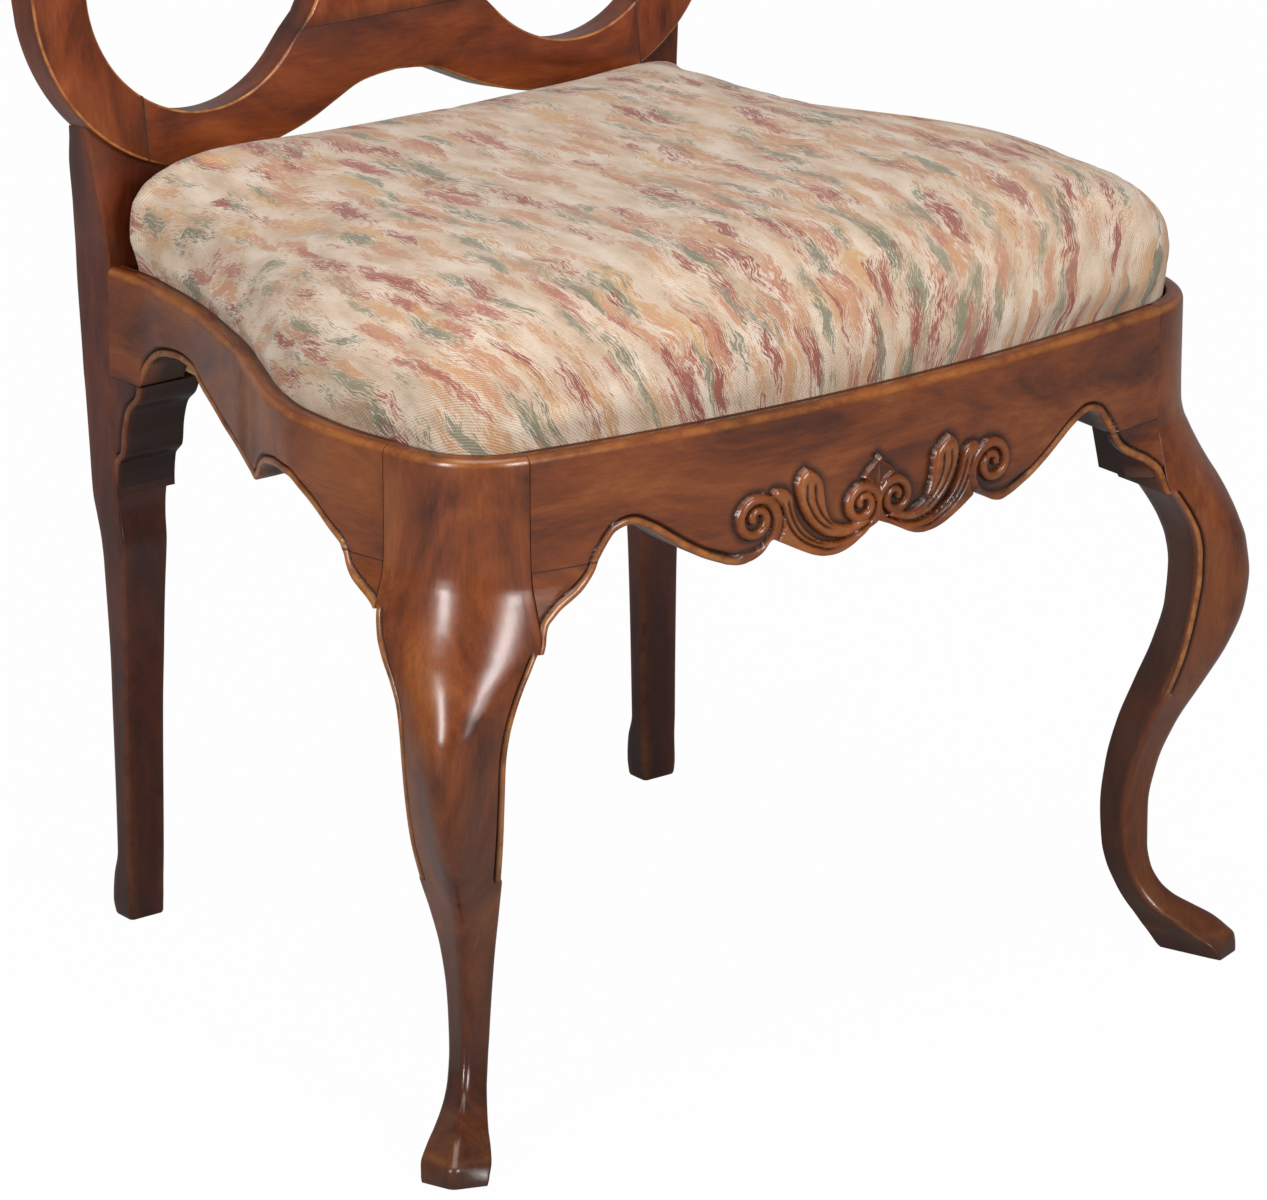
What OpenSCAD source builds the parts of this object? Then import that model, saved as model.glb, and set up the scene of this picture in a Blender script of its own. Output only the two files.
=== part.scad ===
// Balloon back side chair with cabriole front legs and a drop-in seat.
// Millimetres, +Z up, the front faces -Y, the origin is under the middle of the whole chair.

/* [Overall size] */
// Height of the seat rails' top above the floor
seat_rail_height = 400; // [370:1:440]
// Widest place of the seat rails
seat_width = 555; // [500:1:600]
// From the front rail's face to the rear posts' front faces
seat_depth = 444.5; // [420:0.5:480]
// Height of the crest above the floor
overall_height = 1010; // [960:1:1060]

/* [Seat rails] */
// Height of the rails' ends, which is also the height of their shoulders
rail_height = 65; // [60:1:70]
// Thickness of the front and side rails
rail_thickness = 30; // [26:1:34]
// How far the front rail bows forward in the middle
front_bow = 24; // [15:1:32]
// Width of the lip round the drop-in seat
lip_width = 10; // [8:0.5:12]
// Depth of the rabbet that the seat drops into
rabbet_depth = 12; // [9:0.5:14]
// Rounding of the rails' outer top edge
edge_round = 5; // [3:0.5:7]
// Height of the bead along the rails' lower edge
bead_height = 5; // [3:0.5:6]
// Depth of the groove above the bead
groove_depth = 1.6; // [0.8:0.2:2.4]
// How far the carving on the front rail stands proud
relief_depth = 3; // [1.5:0.5:4]
// Thickness of the rear rail
rear_rail_thickness = 32; // [28:1:36]
// Height of the batten that carries the seat's rear edge
batten_height = 22; // [16:1:26]

/* [Front legs] */
// Width of a front leg's block, seen from the front
leg_block_width = 56.8; // [50:0.1:60]
// Depth of a front leg's block, seen from the side
leg_block_depth = 64.5; // [58:0.5:70]
// How deep the knee brackets reach behind the rail's face
bracket_depth = 42; // [36:1:46]
// How far the leg's line passes in front of the block's corner
leg_advance = 8.8; // [5:0.1:12]

/* [Rear posts] */
// How far a rear post's outer face stands inside the side rail's face
post_set = 1; // [0:0.5:3]
// Width of a rear post at the seat rails
post_width = 41; // [36:1:44]
// Depth of a rear post at the seat rails
post_depth = 35; // [31:1:38]
// Rounding of the posts' arrises
post_round = 3.5; // [1:0.5:5]

/* [Back] */
// Lowest point of the back's rings above the seat rails
ring_rise = 44; // [41:1:52]
// Rake of the back
rake_angle = 7.5; // [6:0.5:9]
// Thickness of the back
back_thickness = 23; // [19:0.5:25]
// How far the back's widest place stands outside the posts
back_overhang = 41; // [36:1:46]
// Radius of the rings' outer edge
ring_radius = 112; // [108:1:116]
// Radius of the openings' round bottoms
opening_radius = 76; // [72:1:80]
// How far the rings stand in front of the posts
ring_proud = 5.7; // [3:0.1:7]

/* [Drop-in seat] */
// Height of the seat's crown above the rails
crown_height = 80; // [70:1:90]
// Gap between the seat and the lip
seat_gap = 0.8; // [0.5:0.1:1.5]
// Gap between the seat and the back
back_gap = 1.8; // [1.2:0.1:3]
// Radius of the seat's rear corners
rear_corner_r = 12; // [8:1:14]
// Gap between the seat and the ledge that it rests on
rest_gap = 0.3; // [0.2:0.1:0.5]
// Gap between the stuffing and its cover
pad_gap = 0.8; // [0.5:0.1:1.5]
// Thickness of the cover
cover_thickness = 1.2; // [0.8:0.1:2]
// Width of the cover's margin that is turned under the seat frame
cover_margin = 24; // [20:1:28]
// Width of the seat frame's rails
frame_width = 52; // [44:1:60]
// Thickness of the seat frame
frame_thickness = 16; // [12:1:20]
// Width of the webbing straps
web_width = 50; // [40:1:60]
// Thickness of the webbing
web_thickness = 1.5; // [1:0.5:2]
// Thickness of the dust cover
dust_thickness = 0.8; // [0.5:0.1:1]

/* [Joinery] */
// Thickness of the tenons
tenon_thickness = 10; // [8:1:12]
// Length of the front and side rails' tenons
tenon_length = 22; // [16:1:24]
// Length of the rear rail's tenons
rear_tenon_length = 17; // [12:1:18]
// Clearance round a tenon in its mortise
tenon_clearance = 0.1; // [0.05:0.05:0.3]
// Radius of the back's dowels
dowel_r = 4; // [3:0.5:4.5]
// Length of the back's dowels
dowel_length = 30; // [24:1:34]
// Radius of the seat frame's dowels
seat_dowel_r = 3.5; // [3:0.5:4]
// Clearance round a dowel
dowel_clearance = 0.05; // [0.02:0.01:0.1]
// Thickness of a glue line
glue_gap = 0.1; // [0.05:0.05:0.2]
// Length of the splat's tongues
tongue_length = 16; // [12:1:20]
// Thickness of the splat's tongues
tongue_thickness = 8; // [6:1:10]
// Height of the corner blocks
block_height = 34; // [26:1:36]
// Radius of the corner blocks' screws
screw_r = 2; // [1.5:0.25:2.5]
// Radius of the screws' heads
screw_head_r = 4; // [3:0.5:5]
// Length of the screws
screw_length = 34; // [30:1:36]
// Clearance round a screw in its block
screw_clearance = 0.15; // [0.1:0.05:0.3]
// Radius of the cover tacks' heads
tack_head_r = 1.8; // [1.5:0.1:2]
// Length of the cover tacks
tack_length = 8; // [6:1:10]

/* [Hidden] */

wood = "#7a4424";
wood_dark = "#5a2f1a";
wood_back = "#9a5c30";
raw_wood = "#c49a6c";
cloth = "#cbb79a";
web_color = "#b79d74";
pad_color = "#efe6cf";
dust_color = "#2b2927";
steel = "#9a9a9a";

half_width = seat_width / 2;
rail_bottom = seat_rail_height - rail_height;
ledge_height = seat_rail_height - rabbet_depth;
side_joint_y = front_bow + leg_block_depth;
post_y = seat_depth;
overrun = seat_rail_height / 400;
ring_y = post_y - ring_proud;
ring_height = seat_rail_height + ring_rise;
back_rise = (overall_height - ring_height) / cos(rake_angle);
// The chair is modelled with y = 0 at the front rail's face, then set over its middle
front_reach = -relief_depth;
back_reach = ring_y + back_rise * sin(rake_angle) + back_thickness * cos(rake_angle);
middle_y = (front_reach + back_reach) / 2;

function mix(a, b, t) = a + (b - a) * t;
function unit(v) = v / norm(v);
function flip(points) = [for (i = [len(points) - 1:-1:0]) points[i]];
function mirrored(points) = [for (p = flip(points)) [-p[0], p[1]]];
function spline_point(a, b, c, d, t) = (2 * b + (c - a) * t + (2 * a - 5 * b + 4 * c - d) * t * t
    + (-a + 3 * b - 3 * c + d) * t * t * t) / 2;
function smooth(p, steps) = let (last = len(p) - 1) concat(
    [for (i = [0:last - 1], k = [0:steps - 1]) spline_point(p[max(i - 1, 0)], p[i], p[i + 1],
        p[min(i + 2, last)], k / steps)], [p[last]]);
function arc(centre, r, from, to, steps) = [for (i = [0:steps])
    centre + r * [cos(mix(from, to, i / steps)), sin(mix(from, to, i / steps))]];

// Closed skin over rings of points that all have the same count
module loft(rings) {
    n = len(rings[0]);
    last = len(rings) - 1;
    polyhedron(points = [for (ring = rings) each ring],
        faces = concat(
            [for (k = [0:last - 1], i = [0:n - 1]) [k * n + i, (k + 1) * n + i, k * n + (i + 1) % n]],
            [for (k = [0:last - 1], i = [0:n - 1])
                [(k + 1) * n + i, (k + 1) * n + (i + 1) % n, k * n + (i + 1) % n]],
            [[for (i = [0:n - 1]) i]],
            [[for (i = [n - 1:-1:0]) last * n + i]]));
}
module placed() translate([0, -middle_y, 0]) children();
module left_side() mirror([1, 0, 0]) children();
// Box from its low corner to its high corner
module block(low, high) translate(low) cube(high - low);

// Plan of the seat. Each row gives a share of the half width and a share of the way from the
// front leg's joint back to the rear post.
side_plan_shares = [
    [0.7387, 1], [0.7333, 0.9157], [0.7441, 0.8455], [0.764, 0.7472], [0.8072, 0.6264],
    [0.8505, 0.5197], [0.9117, 0.4087], [0.973, 0.2893], [0.9982, 0.1967], [1, 0.1151],
    [0.992, 0.0533], [0.9784, 0]];
function side_way(share) = mix(side_joint_y, post_y, share);
side_curve = smooth([for (s = side_plan_shares) [s[0] * half_width, side_way(s[1])]], 3);
side_lookup = [for (p = flip(side_curve)) [p[1], p[0]]];
function side_x(y) = lookup(y, side_lookup);
front_joint_x = half_width - leg_block_width;
function front_y(x) = front_bow * pow(x / front_joint_x, 2);
front_joint = [front_joint_x, front_y(front_joint_x)];
side_joint = [side_x(side_joint_y), side_joint_y];
// The corner's curve is pulled to a point outside it
corner_pull_shares = [0.911, 0.16];
corner_pull = [mix(front_joint_x, side_joint[0], corner_pull_shares[0]),
    mix(front_bow, side_joint_y, corner_pull_shares[1])];
function bend(a, pull, b, t) = mix(mix(a, pull, t), mix(pull, b, t), t);
corner_steps = 6;
corner_curve = [for (i = [0:corner_steps]) bend(side_joint, corner_pull, front_joint,
    i / corner_steps)];

// Lower edge of the front rail: shares of the way to the leg's joint and of the height of the
// rails' lower edge there
front_scallop_shares = [
    [0, 0.9701], [0.0314, 0.9612], [0.0629, 0.9522], [0.0993, 0.9421], [0.1408, 0.9343],
    [0.1899, 0.9403], [0.2314, 0.9475], [0.2716, 0.9612], [0.2993, 0.9719], [0.3269, 0.9809],
    [0.3583, 0.9612], [0.3898, 0.951], [0.4262, 0.9475], [0.4627, 0.9534], [0.5205, 0.9701],
    [0.5759, 0.991], [0.635, 1.0179], [0.6752, 1.0358], [0.7293, 1.0507], [0.7657, 1.0448],
    [0.7972, 1.0239], [0.8299, 1.006], [0.8475, 1]];
// Lower edge of a side rail: shares of the way from the leg to the post, and of the same height
side_scallop_shares = [
    [0.086, 1], [0.1073, 1.0239], [0.146, 1.049], [0.1854, 1.0687], [0.2163, 1.0794],
    [0.2528, 1.0806], [0.3005, 1.0716], [0.3399, 1.0537], [0.3652, 1.0269], [0.3877, 1.0149],
    [0.4102, 1.0167], [0.4888, 1.0209], [0.5702, 1.0328], [0.632, 1.0507], [0.6882, 1.0657],
    [0.7332, 1.0824], [0.7725, 1.0866], [0.8202, 1.0806], [0.8595, 1.0687], [0.8932, 1.0448],
    [0.913, 1.0149], [0.9213, 1]];

// Section of a rail: steps inward from its face, and heights above its lower edge or its top
function rail_section(p, inward, low) = let (at = function(d, z) [p[0] + inward[0] * d,
        p[1] + inward[1] * d, z]) [
    at(rail_thickness, low), at(bead_height / 3, low), at(0, low + bead_height / 3),
    at(0, low + bead_height * 0.8), at(groove_depth, low + bead_height),
    at(0, low + bead_height + groove_depth * 1.5), at(0, seat_rail_height - edge_round),
    at(edge_round * 0.3, seat_rail_height - edge_round * 0.3), at(edge_round, seat_rail_height),
    at(lip_width, seat_rail_height), at(lip_width, ledge_height), at(rail_thickness, ledge_height)];

front_half_stations = concat([for (s = front_scallop_shares) [s[0] * front_joint_x,
    s[1] * rail_bottom]], [[front_joint_x, rail_bottom]]);
front_stations = concat([for (s = flip(front_half_stations)) [-s[0], s[1]]],
    [for (i = [1:len(front_half_stations) - 1]) front_half_stations[i]]);
side_stations = concat([[side_joint_y, rail_bottom]], [for (s = side_scallop_shares)
    [side_way(s[0]), s[1] * rail_bottom]], [[post_y, rail_bottom]]);

// Tenons of the front and side rails, and their mortises. A tenon's ring has as many points as a
// rail's section, and the rows give its points' shares of the tenon's thickness and height.
tenon_low = rail_bottom + rail_height * 0.16;
tenon_high = ledge_height - rabbet_depth * 0.4;
tenon_set = lip_width * 0.8;
tenon_ring_shares = [[1, 0], [0, 0], [0, 0.05], [0, 0.1], [0, 0.2], [0, 0.3], [0, 0.6], [0, 0.7],
    [0, 0.8], [0, 0.9], [0, 1], [1, 1]];
function tenon_section(p, inward) = [for (s = tenon_ring_shares) let (
    d = tenon_set + s[0] * tenon_thickness) [p[0] + inward[0] * d, p[1] + inward[1] * d,
    mix(tenon_low, tenon_high, s[1])]];
module front_mortise(grow) block(
    [front_joint_x - overrun, front_joint[1] + tenon_set - grow, tenon_low - grow],
    [front_joint_x + tenon_length + grow, front_joint[1] + tenon_set + tenon_thickness + grow,
        tenon_high + grow]);
module side_mortise(face_x, low_y, high_y, grow) block(
    [face_x - tenon_set - tenon_thickness - grow, low_y, tenon_low - grow],
    [face_x - tenon_set + grow, high_y, tenon_high + grow]);

module front_rail() {
    tenon_end = [front_joint_x + tenon_length, front_joint[1]];
    tenon_rings = [for (p = [front_joint, tenon_end]) flip(tenon_section(p, [0, 1]))];
    color(wood) placed() {
        loft(concat(
            [for (ring = flip(tenon_rings)) [for (p = ring) [-p[0], p[1], p[2]]]],
            [for (s = front_stations) flip(rail_section([s[0], front_y(s[0])], [0, 1], s[1]))],
            tenon_rings));
        front_carving();
        left_side() front_carving();
    }
}

// Relief on the front rail: shares as for its lower edge
outer_leaf_shares = [
    [0.2993, 0.9731], [0.3269, 0.9839], [0.3294, 1.0328], [0.3131, 1.0675], [0.2967, 1.0507],
    [0.2842, 1.0149]];
large_leaf_shares = [
    [0.1446, 0.9349], [0.1949, 0.9415], [0.2515, 0.9552], [0.2842, 0.9791], [0.2917, 1.0209],
    [0.2578, 1.0627], [0.2314, 1.089], [0.2075, 1.0794], [0.1886, 1.0448], [0.1685, 1.0149],
    [0.1509, 0.9791], [0.1132, 0.9552], [0.0993, 0.9433]];
centre_bud_shares = [
    [0, 1.0328], [0, 1.0746], [0.0226, 1.0484], [0.0314, 1.034]];
outer_volute_shares = [0.3848, 1.0179, 0.044];
inner_volute_shares = [0.0566, 1.006, 0.0428];
// A carved form stands proud of the bowed face at its own place, and is rooted in the rail
relief_root = rail_thickness / 3;
module raised(x_share) translate([0, front_y(x_share * front_joint_x) + relief_root, 0])
    rotate([90, 0, 0]) linear_extrude(height = relief_root + relief_depth) children();
module leaf(x_share, shares) raised(x_share) polygon([for (s = smooth(concat(shares, [shares[0]]), 3))
    [s[0] * front_joint_x, s[1] * rail_bottom]]);
module volute(shares) raised(shares[0]) translate([shares[0] * front_joint_x,
    shares[1] * rail_bottom]) circle(r = shares[2] * front_joint_x);
outer_leaf_place_share = 0.314;
large_leaf_place_share = 0.189;
module front_carving() {
    leaf(outer_leaf_place_share, outer_leaf_shares);
    leaf(large_leaf_place_share, large_leaf_shares);
    leaf(0, centre_bud_shares);
    volute(outer_volute_shares);
    volute(inner_volute_shares);
}

side_rear_x = side_x(post_y);
module side_rail() loft(concat(
    [for (y = [side_joint_y - tenon_length, side_joint_y])
        flip(tenon_section([side_joint[0], y], [-1, 0]))],
    [for (s = side_stations) flip(rail_section([side_x(s[0]), s[0]], [-1, 0], s[1]))],
    [for (y = [post_y, post_y + tenon_length]) flip(tenon_section([side_rear_x, y], [-1, 0]))]));
module side_rail_right() color(wood) placed() side_rail();
module side_rail_left() color(wood) placed() left_side() side_rail();

// Front leg below its block. Each row gives shares: of the height of the rails' lower edge, then,
// of the block's diagonal and counted out from its corner, the inner corner, the outer corner, the
// place and half width of the side corners; last, how much of the outer corner and of the side
// corners is rounded away.
leg_shares = [
    [0, -0.3008, 0.2636, 0.1204, 0.2338, 0.15, 0.12],
    [0.0131, -0.3387, 0.2636, 0.1161, 0.2359, 0.15, 0.12],
    [0.0287, -0.3893, 0.2488, 0.074, 0.2253, 0.2, 0.15],
    [0.0442, -0.4356, 0.1835, -0.0313, 0.198, 0.3, 0.25],
    [0.0621, -0.4862, 0.1161, -0.1366, 0.1811, 0.3, 0.3],
    [0.0788, -0.5283, -0.0523, -0.2714, 0.1664, 0.3, 0.35],
    [0.0979, -0.562, -0.1745, -0.364, 0.1643, 0.3, 0.4],
    [0.1194, -0.6041, -0.2334, -0.4167, 0.1706, 0.3, 0.45],
    [0.1528, -0.6546, -0.3008, -0.4777, 0.1727, 0.3, 0.45],
    [0.191, -0.6883, -0.324, -0.5072, 0.1769, 0.3, 0.45],
    [0.2627, -0.701, -0.3345, -0.5178, 0.1832, 0.3, 0.42],
    [0.3403, -0.6883, -0.2714, -0.4799, 0.2085, 0.3, 0.36],
    [0.4149, -0.621, -0.1745, -0.3977, 0.2317, 0.3, 0.28],
    [0.4896, -0.5072, -0.0018, -0.2545, 0.2569, 0.28, 0.14],
    [0.5642, -0.3809, 0.1583, -0.1113, 0.2738, 0.32, 0.06],
    [0.6388, -0.3029, 0.2888, -0.0073, 0.2948, 0.4, 0.05],
    [0.7104, -0.2608, 0.3731, 0.0563, 0.3159, 0.54, 0.05],
    [0.7552, -0.2693, 0.3836, 0.0572, 0.3264, 0.64, 0.05]];
leg_sides = 6;
leg_diagonal = norm([leg_block_width, leg_block_depth]);
// Place on the leg's line, by its reach outward and to the side
function leg_place(d, t) = corner_pull + [(d + t) / sqrt(2), (t - d) / sqrt(2) - leg_advance];
function leg_kite(s) = [leg_place(s[1] * leg_diagonal, 0),
    leg_place(s[3] * leg_diagonal, -s[4] * leg_diagonal), leg_place(s[2] * leg_diagonal, 0),
    leg_place(s[3] * leg_diagonal, s[4] * leg_diagonal)];
// Corner of a section, rounded from a share of one edge to a share of the next
function rounded(before, p, after, share, steps) = [for (i = [0:steps])
    bend(mix(p, before, share), p, mix(p, after, share), i / steps)];
inner_round_share = 0.08;
function leg_ring(c, outer, side, z) = [for (p = concat(
    rounded(c[3], c[0], c[1], inner_round_share, 1), rounded(c[0], c[1], c[2], side, 2),
    rounded(c[1], c[2], c[3], outer, leg_sides), rounded(c[2], c[3], c[0], side, 2)))
    [p[0], p[1], z]];

// Upper part of the leg: height share, then how far the faces swell out past the rails as
// shares of the block, and how far the inner edges have drawn out to the knee
knee_shares = [
    [0.7976, 0.1, 0.68], [0.8269, 0.09, 0.42], [0.8657, 0.06, 0.16], [0.9075, 0.035, 0.03],
    [0.9612, 0.012, 0], [1, 0, 0]];
// The rows are drawn closer, so that the brackets' glued faces stay true to the leg's
knee_steps = 3;
knee_rows = concat([for (i = [0:len(knee_shares) - 2], k = [0:knee_steps - 1])
    mix(knee_shares[i], knee_shares[i + 1], k / knee_steps)], [knee_shares[len(knee_shares) - 1]]);
block_corners = [[front_joint_x, side_joint_y], front_joint, corner_pull, side_joint];
knee_corners = leg_kite(leg_shares[len(leg_shares) - 1]);
block_round_share = 0.999;
block_side_share = 0.001;
function knee_mix(s) = let (t = s[2], swell = s[1]) [
    mix(block_corners[0], knee_corners[0], t),
    mix(block_corners[1], knee_corners[1], t) + [0, -swell * leg_block_depth * (1 - t)],
    mix(block_corners[2], knee_corners[2], t) + swell * (1 - t) * [leg_block_width, -leg_block_depth],
    mix(block_corners[3], knee_corners[3], t) + [swell * leg_block_width * (1 - t), 0]];
knee_round = leg_shares[len(leg_shares) - 1];
function knee_ring(s) = leg_ring(knee_mix(s), mix(block_round_share, knee_round[5], s[2]),
    mix(block_side_share, knee_round[6], s[2]), s[0] * rail_bottom);
// The block's top edge is rounded like the rails'
function block_ring(inset, z) = let (towards = unit([-1, 1]) * inset) leg_ring([block_corners[0],
    block_corners[1] + [0, inset], block_corners[2] + towards * sqrt(2), block_corners[3]
    + [-inset, 0]], block_round_share, block_side_share, z);

module front_leg() difference() {
    loft(concat(
        [for (s = leg_shares) leg_ring(leg_kite(s), s[5], s[6], s[0] * rail_bottom)],
        [for (s = knee_rows) knee_ring(s)],
        [block_ring(0, seat_rail_height - edge_round),
            block_ring(edge_round * 0.3, seat_rail_height - edge_round * 0.3),
            block_ring(edge_round, seat_rail_height)]));
    translate([0, 0, ledge_height]) linear_extrude(height = rabbet_depth + overrun)
        polygon(seat_plan(lip_width));
    front_mortise(tenon_clearance);
    side_mortise(side_joint[0], side_joint_y - tenon_length - tenon_clearance,
        side_joint_y + overrun, tenon_clearance);
}
module front_leg_right() color(wood) placed() front_leg();
module front_leg_left() color(wood) placed() left_side() front_leg();

// Plan of the seat, set in from the rails' faces
seat_rear_y = post_y - ring_proud - back_gap;
// Places of the plan's points from the rear corner forward to the leg, closest where it bends most
side_point_shares = [0, 0.036, 0.08, 0.163, 0.267, 0.371, 0.49, 0.603, 0.692, 0.773, 0.853, 0.93, 1];
front_points = 7;
function side_inset(d, rear) = [for (s = side_point_shares) let (y = mix(rear - rear_corner_r,
    side_joint_y, s)) [side_x(y) - d, y]];
function corner_inset(d) = [for (i = [1:corner_steps - 1]) let (t = i / corner_steps,
    q = corner_curve[i], way = unit(mix([-1, 0], [0, 1], t))) q + way * d];
function front_inset(d) = [for (i = [0:front_points - 1]) let (x = mix(front_joint_x, 0,
    i / front_points)) [x, front_y(x) + d]];
function half_plan(d, rear) = concat([[side_x(rear) - d - rear_corner_r, rear]],
    [[side_x(rear) - d - rear_corner_r * 0.3, rear - rear_corner_r * 0.3]],
    side_inset(d, rear), corner_inset(d), front_inset(d));
function seat_plan(d, rear = seat_rear_y) = let (half = half_plan(d, rear))
    concat([[0, front_y(0) + d]], flip(half), [for (p = half) [-p[0], p[1]]]);

// Knee bracket under the front rail: shares of the way to the leg's joint, and of the height of
// the rails' lower edge
front_bracket_shares = [
    [0.9883, 0.8597], [0.9858, 0.8657], [0.9807, 0.8776], [0.9707, 0.9015], [0.966, 0.9075],
    [0.9518, 0.9224], [0.9103, 0.9373], [0.8651, 0.9522], [0.8349, 0.9731], [0.8248, 0.9887],
    [0.8399, 1]];
function knee_table(corner, axis) = [for (s = knee_rows) [s[0] * rail_bottom,
    knee_mix(s)[corner][axis]]];
// Corner of the leg's section at a height: 0 is the inner corner, 1 the front one, 3 the side one
function knee_corner(corner, z) = [lookup(z, knee_table(corner, 0)), lookup(z, knee_table(corner, 1))];
// Where the leg's face towards a bracket passes a given depth: x at a y, or y at an x
function leg_face(z, corner, axis, depth) = let (a = knee_corner(corner, z), b = knee_corner(0, z))
    mix(a[1 - axis], b[1 - axis], (depth - a[axis]) / (b[axis] - a[axis]));
module front_knee_bracket() loft([for (s = front_bracket_shares) let (
        z = s[1] * rail_bottom, x = s[0] * front_joint_x, corner = knee_corner(1, z),
        back = front_joint[1] + bracket_depth, swell = corner[1] - front_joint[1])
    [[x, front_y(x) + swell, z], [corner[0] - glue_gap, corner[1], z],
        [leg_face(z, 1, 1, back) - glue_gap, back, z], [x, back, z]]]);
module front_knee_bracket_right() color(wood) placed() front_knee_bracket();
module front_knee_bracket_left() color(wood) placed() left_side() front_knee_bracket();

// Knee bracket under a side rail: shares of the way from the leg to the post, and of the same height
side_bracket_shares = [
    [0.0074, 0.9373], [0.0161, 0.9463], [0.0336, 0.9582], [0.0486, 0.9761], [0.0561, 0.9899],
    [0.0785, 1]];
module side_knee_bracket() loft([for (s = side_bracket_shares) let (
        z = s[1] * rail_bottom, y = side_way(s[0]), corner = knee_corner(3, z),
        back = corner[0] - bracket_depth, swell = corner[0] - side_joint[0])
    [[side_x(y) + swell - bracket_depth, y, z], [back, leg_face(z, 3, 0, back) + glue_gap, z],
        [corner[0], corner[1] + glue_gap, z], [side_x(y) + swell, y, z]]]);
module side_knee_bracket_right() color(wood) placed() side_knee_bracket();
module side_knee_bracket_left() color(wood) placed() left_side() side_knee_bracket();

// Rear post. Each row gives a place on the post's height, then shares: of the outer face's place,
// of the width, of the front face's step forward and of the depth. The places run from 0 at the
// floor to 1 at the rails' lower edge, 2 at their top and 3 at the post's top.
post_shares = [
    [0, 0.995, 0.585, -0.17, 0.49], [0.0269, 0.998, 0.6, -0.185, 0.56],
    [0.0746, 0.998, 0.62, -0.17, 0.5], [0.1224, 1, 0.645, -0.17, 0.37],
    [0.394, 1, 0.67, -0.2, 0.45], [0.5075, 1, 0.695, -0.228, 0.515],
    [0.6507, 1, 0.756, -0.228, 0.63], [0.6925, 1, 0.793, -0.2, 0.66],
    [0.7343, 1, 0.83, -0.115, 0.69], [0.7731, 1, 0.878, -0.057, 0.743],
    [0.8597, 1, 0.975, -0.043, 0.8], [0.9463, 1, 1, -0.028, 0.857], [1, 1, 1, 0, 0.886],
    [2, 1.002, 1.01, 0, 1], [2.2917, 1.017, 1.08, 0, 0.914], [2.6042, 1.035, 1.17, 0.085, 0.76],
    [2.8125, 1.047, 1.24, 0.15, 0.56], [3, 1.054, 1.26, 0.2, 0.5]];
post_outer = side_rear_x - post_set;
post_top = ring_height + 0.464 * ring_radius;
function post_z(place) = lookup(place, [[0, 0], [1, rail_bottom], [2, seat_rail_height],
    [3, post_top]]);
function post_ring(s) = let (outer = s[1] * post_outer, inner = outer - s[2] * post_width,
        front = post_y + s[3] * post_depth, back = front + s[4] * post_depth, r = post_round,
        z = post_z(s[0]))
    [[inner, front + r, z], [inner + r, front, z], [outer - r, front, z], [outer, front + r, z],
        [outer, back - r, z], [outer - r, back, z], [inner + r, back, z], [inner, back - r, z]];
module rear_post() difference() {
    loft([for (s = post_shares) post_ring(s)]);
    on_back() translate([0, 0, -post_depth]) linear_extrude(height = back_thickness + 2 * post_depth)
        polygon(back_outline);
    side_mortise(side_rear_x, post_y - overrun, post_y + tenon_length + tenon_clearance,
        tenon_clearance);
    rear_tenon(tenon_clearance);
    post_dowels(dowel_clearance);
}
module rear_post_right() color(wood_dark) placed() rear_post();
module rear_post_left() color(wood_dark) placed() left_side() rear_post();

// Bracket between a rear post and a side rail: shares of the post's depth forward of its face,
// and of the height of the rails' lower edge
rear_bracket_shares = [
    [0.055, 0.7881], [0.105, 0.8358], [0.3, 0.8633], [0.35, 0.9039], [0.48, 0.9433],
    [0.73, 0.9672], [0.8, 1]];
post_face_table = [for (s = post_shares) [post_z(s[0]), post_y + s[3] * post_depth]];
rear_bracket_face_shares = [1, 0.9463, 0.8597, 0.7881];
module rear_bracket() translate([post_outer - post_width, 0, 0]) rotate([90, 0, 90])
    linear_extrude(height = post_width) polygon(concat(
        [for (s = rear_bracket_shares) [post_y - s[0] * post_depth, s[1] * rail_bottom]],
        [for (z = rear_bracket_face_shares * rail_bottom) [lookup(z, post_face_table), z]]));
module rear_bracket_right() color(wood_dark) placed() rear_bracket();
module rear_bracket_left() color(wood_dark) placed() left_side() rear_bracket();

// Rear rail between the posts, with a lip behind the seat, and the batten in front of it
rear_rail_front = seat_rear_y + seat_gap;
rear_rail_back = rear_rail_front + rear_rail_thickness;
post_inner = post_outer - post_width - glue_gap;
rear_tenon_y = rear_rail_front + (rear_rail_thickness - tenon_thickness) * 0.6;
function side_inner(y) = [side_x(y) - rail_thickness - glue_gap, y];
rail_inner_x = side_inner(rear_rail_front)[0];
module rear_tenon(grow = 0) block(
    [post_inner - overrun, rear_tenon_y - grow, tenon_low - grow],
    [post_inner + rear_tenon_length + grow, rear_tenon_y + tenon_thickness + grow,
        tenon_high + grow]);
module rear_rail() {
    color(wood_dark) placed() {
        block([-post_inner, rear_rail_front, rail_bottom],
            [post_inner, rear_rail_back, seat_rail_height]);
        block([-rail_inner_x, rear_rail_front, rail_bottom],
            [rail_inner_x, post_y, ledge_height]);
        rear_tenon();
        left_side() rear_tenon();
    }
}
batten_outline = [side_inner(rear_rail_front), side_inner(rear_rail_front - rail_thickness * 0.6)];
module rear_batten() color(raw_wood) placed() translate([0, 0, ledge_height - batten_height])
    linear_extrude(height = batten_height) polygon(concat(batten_outline, mirrored(batten_outline)));

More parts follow.
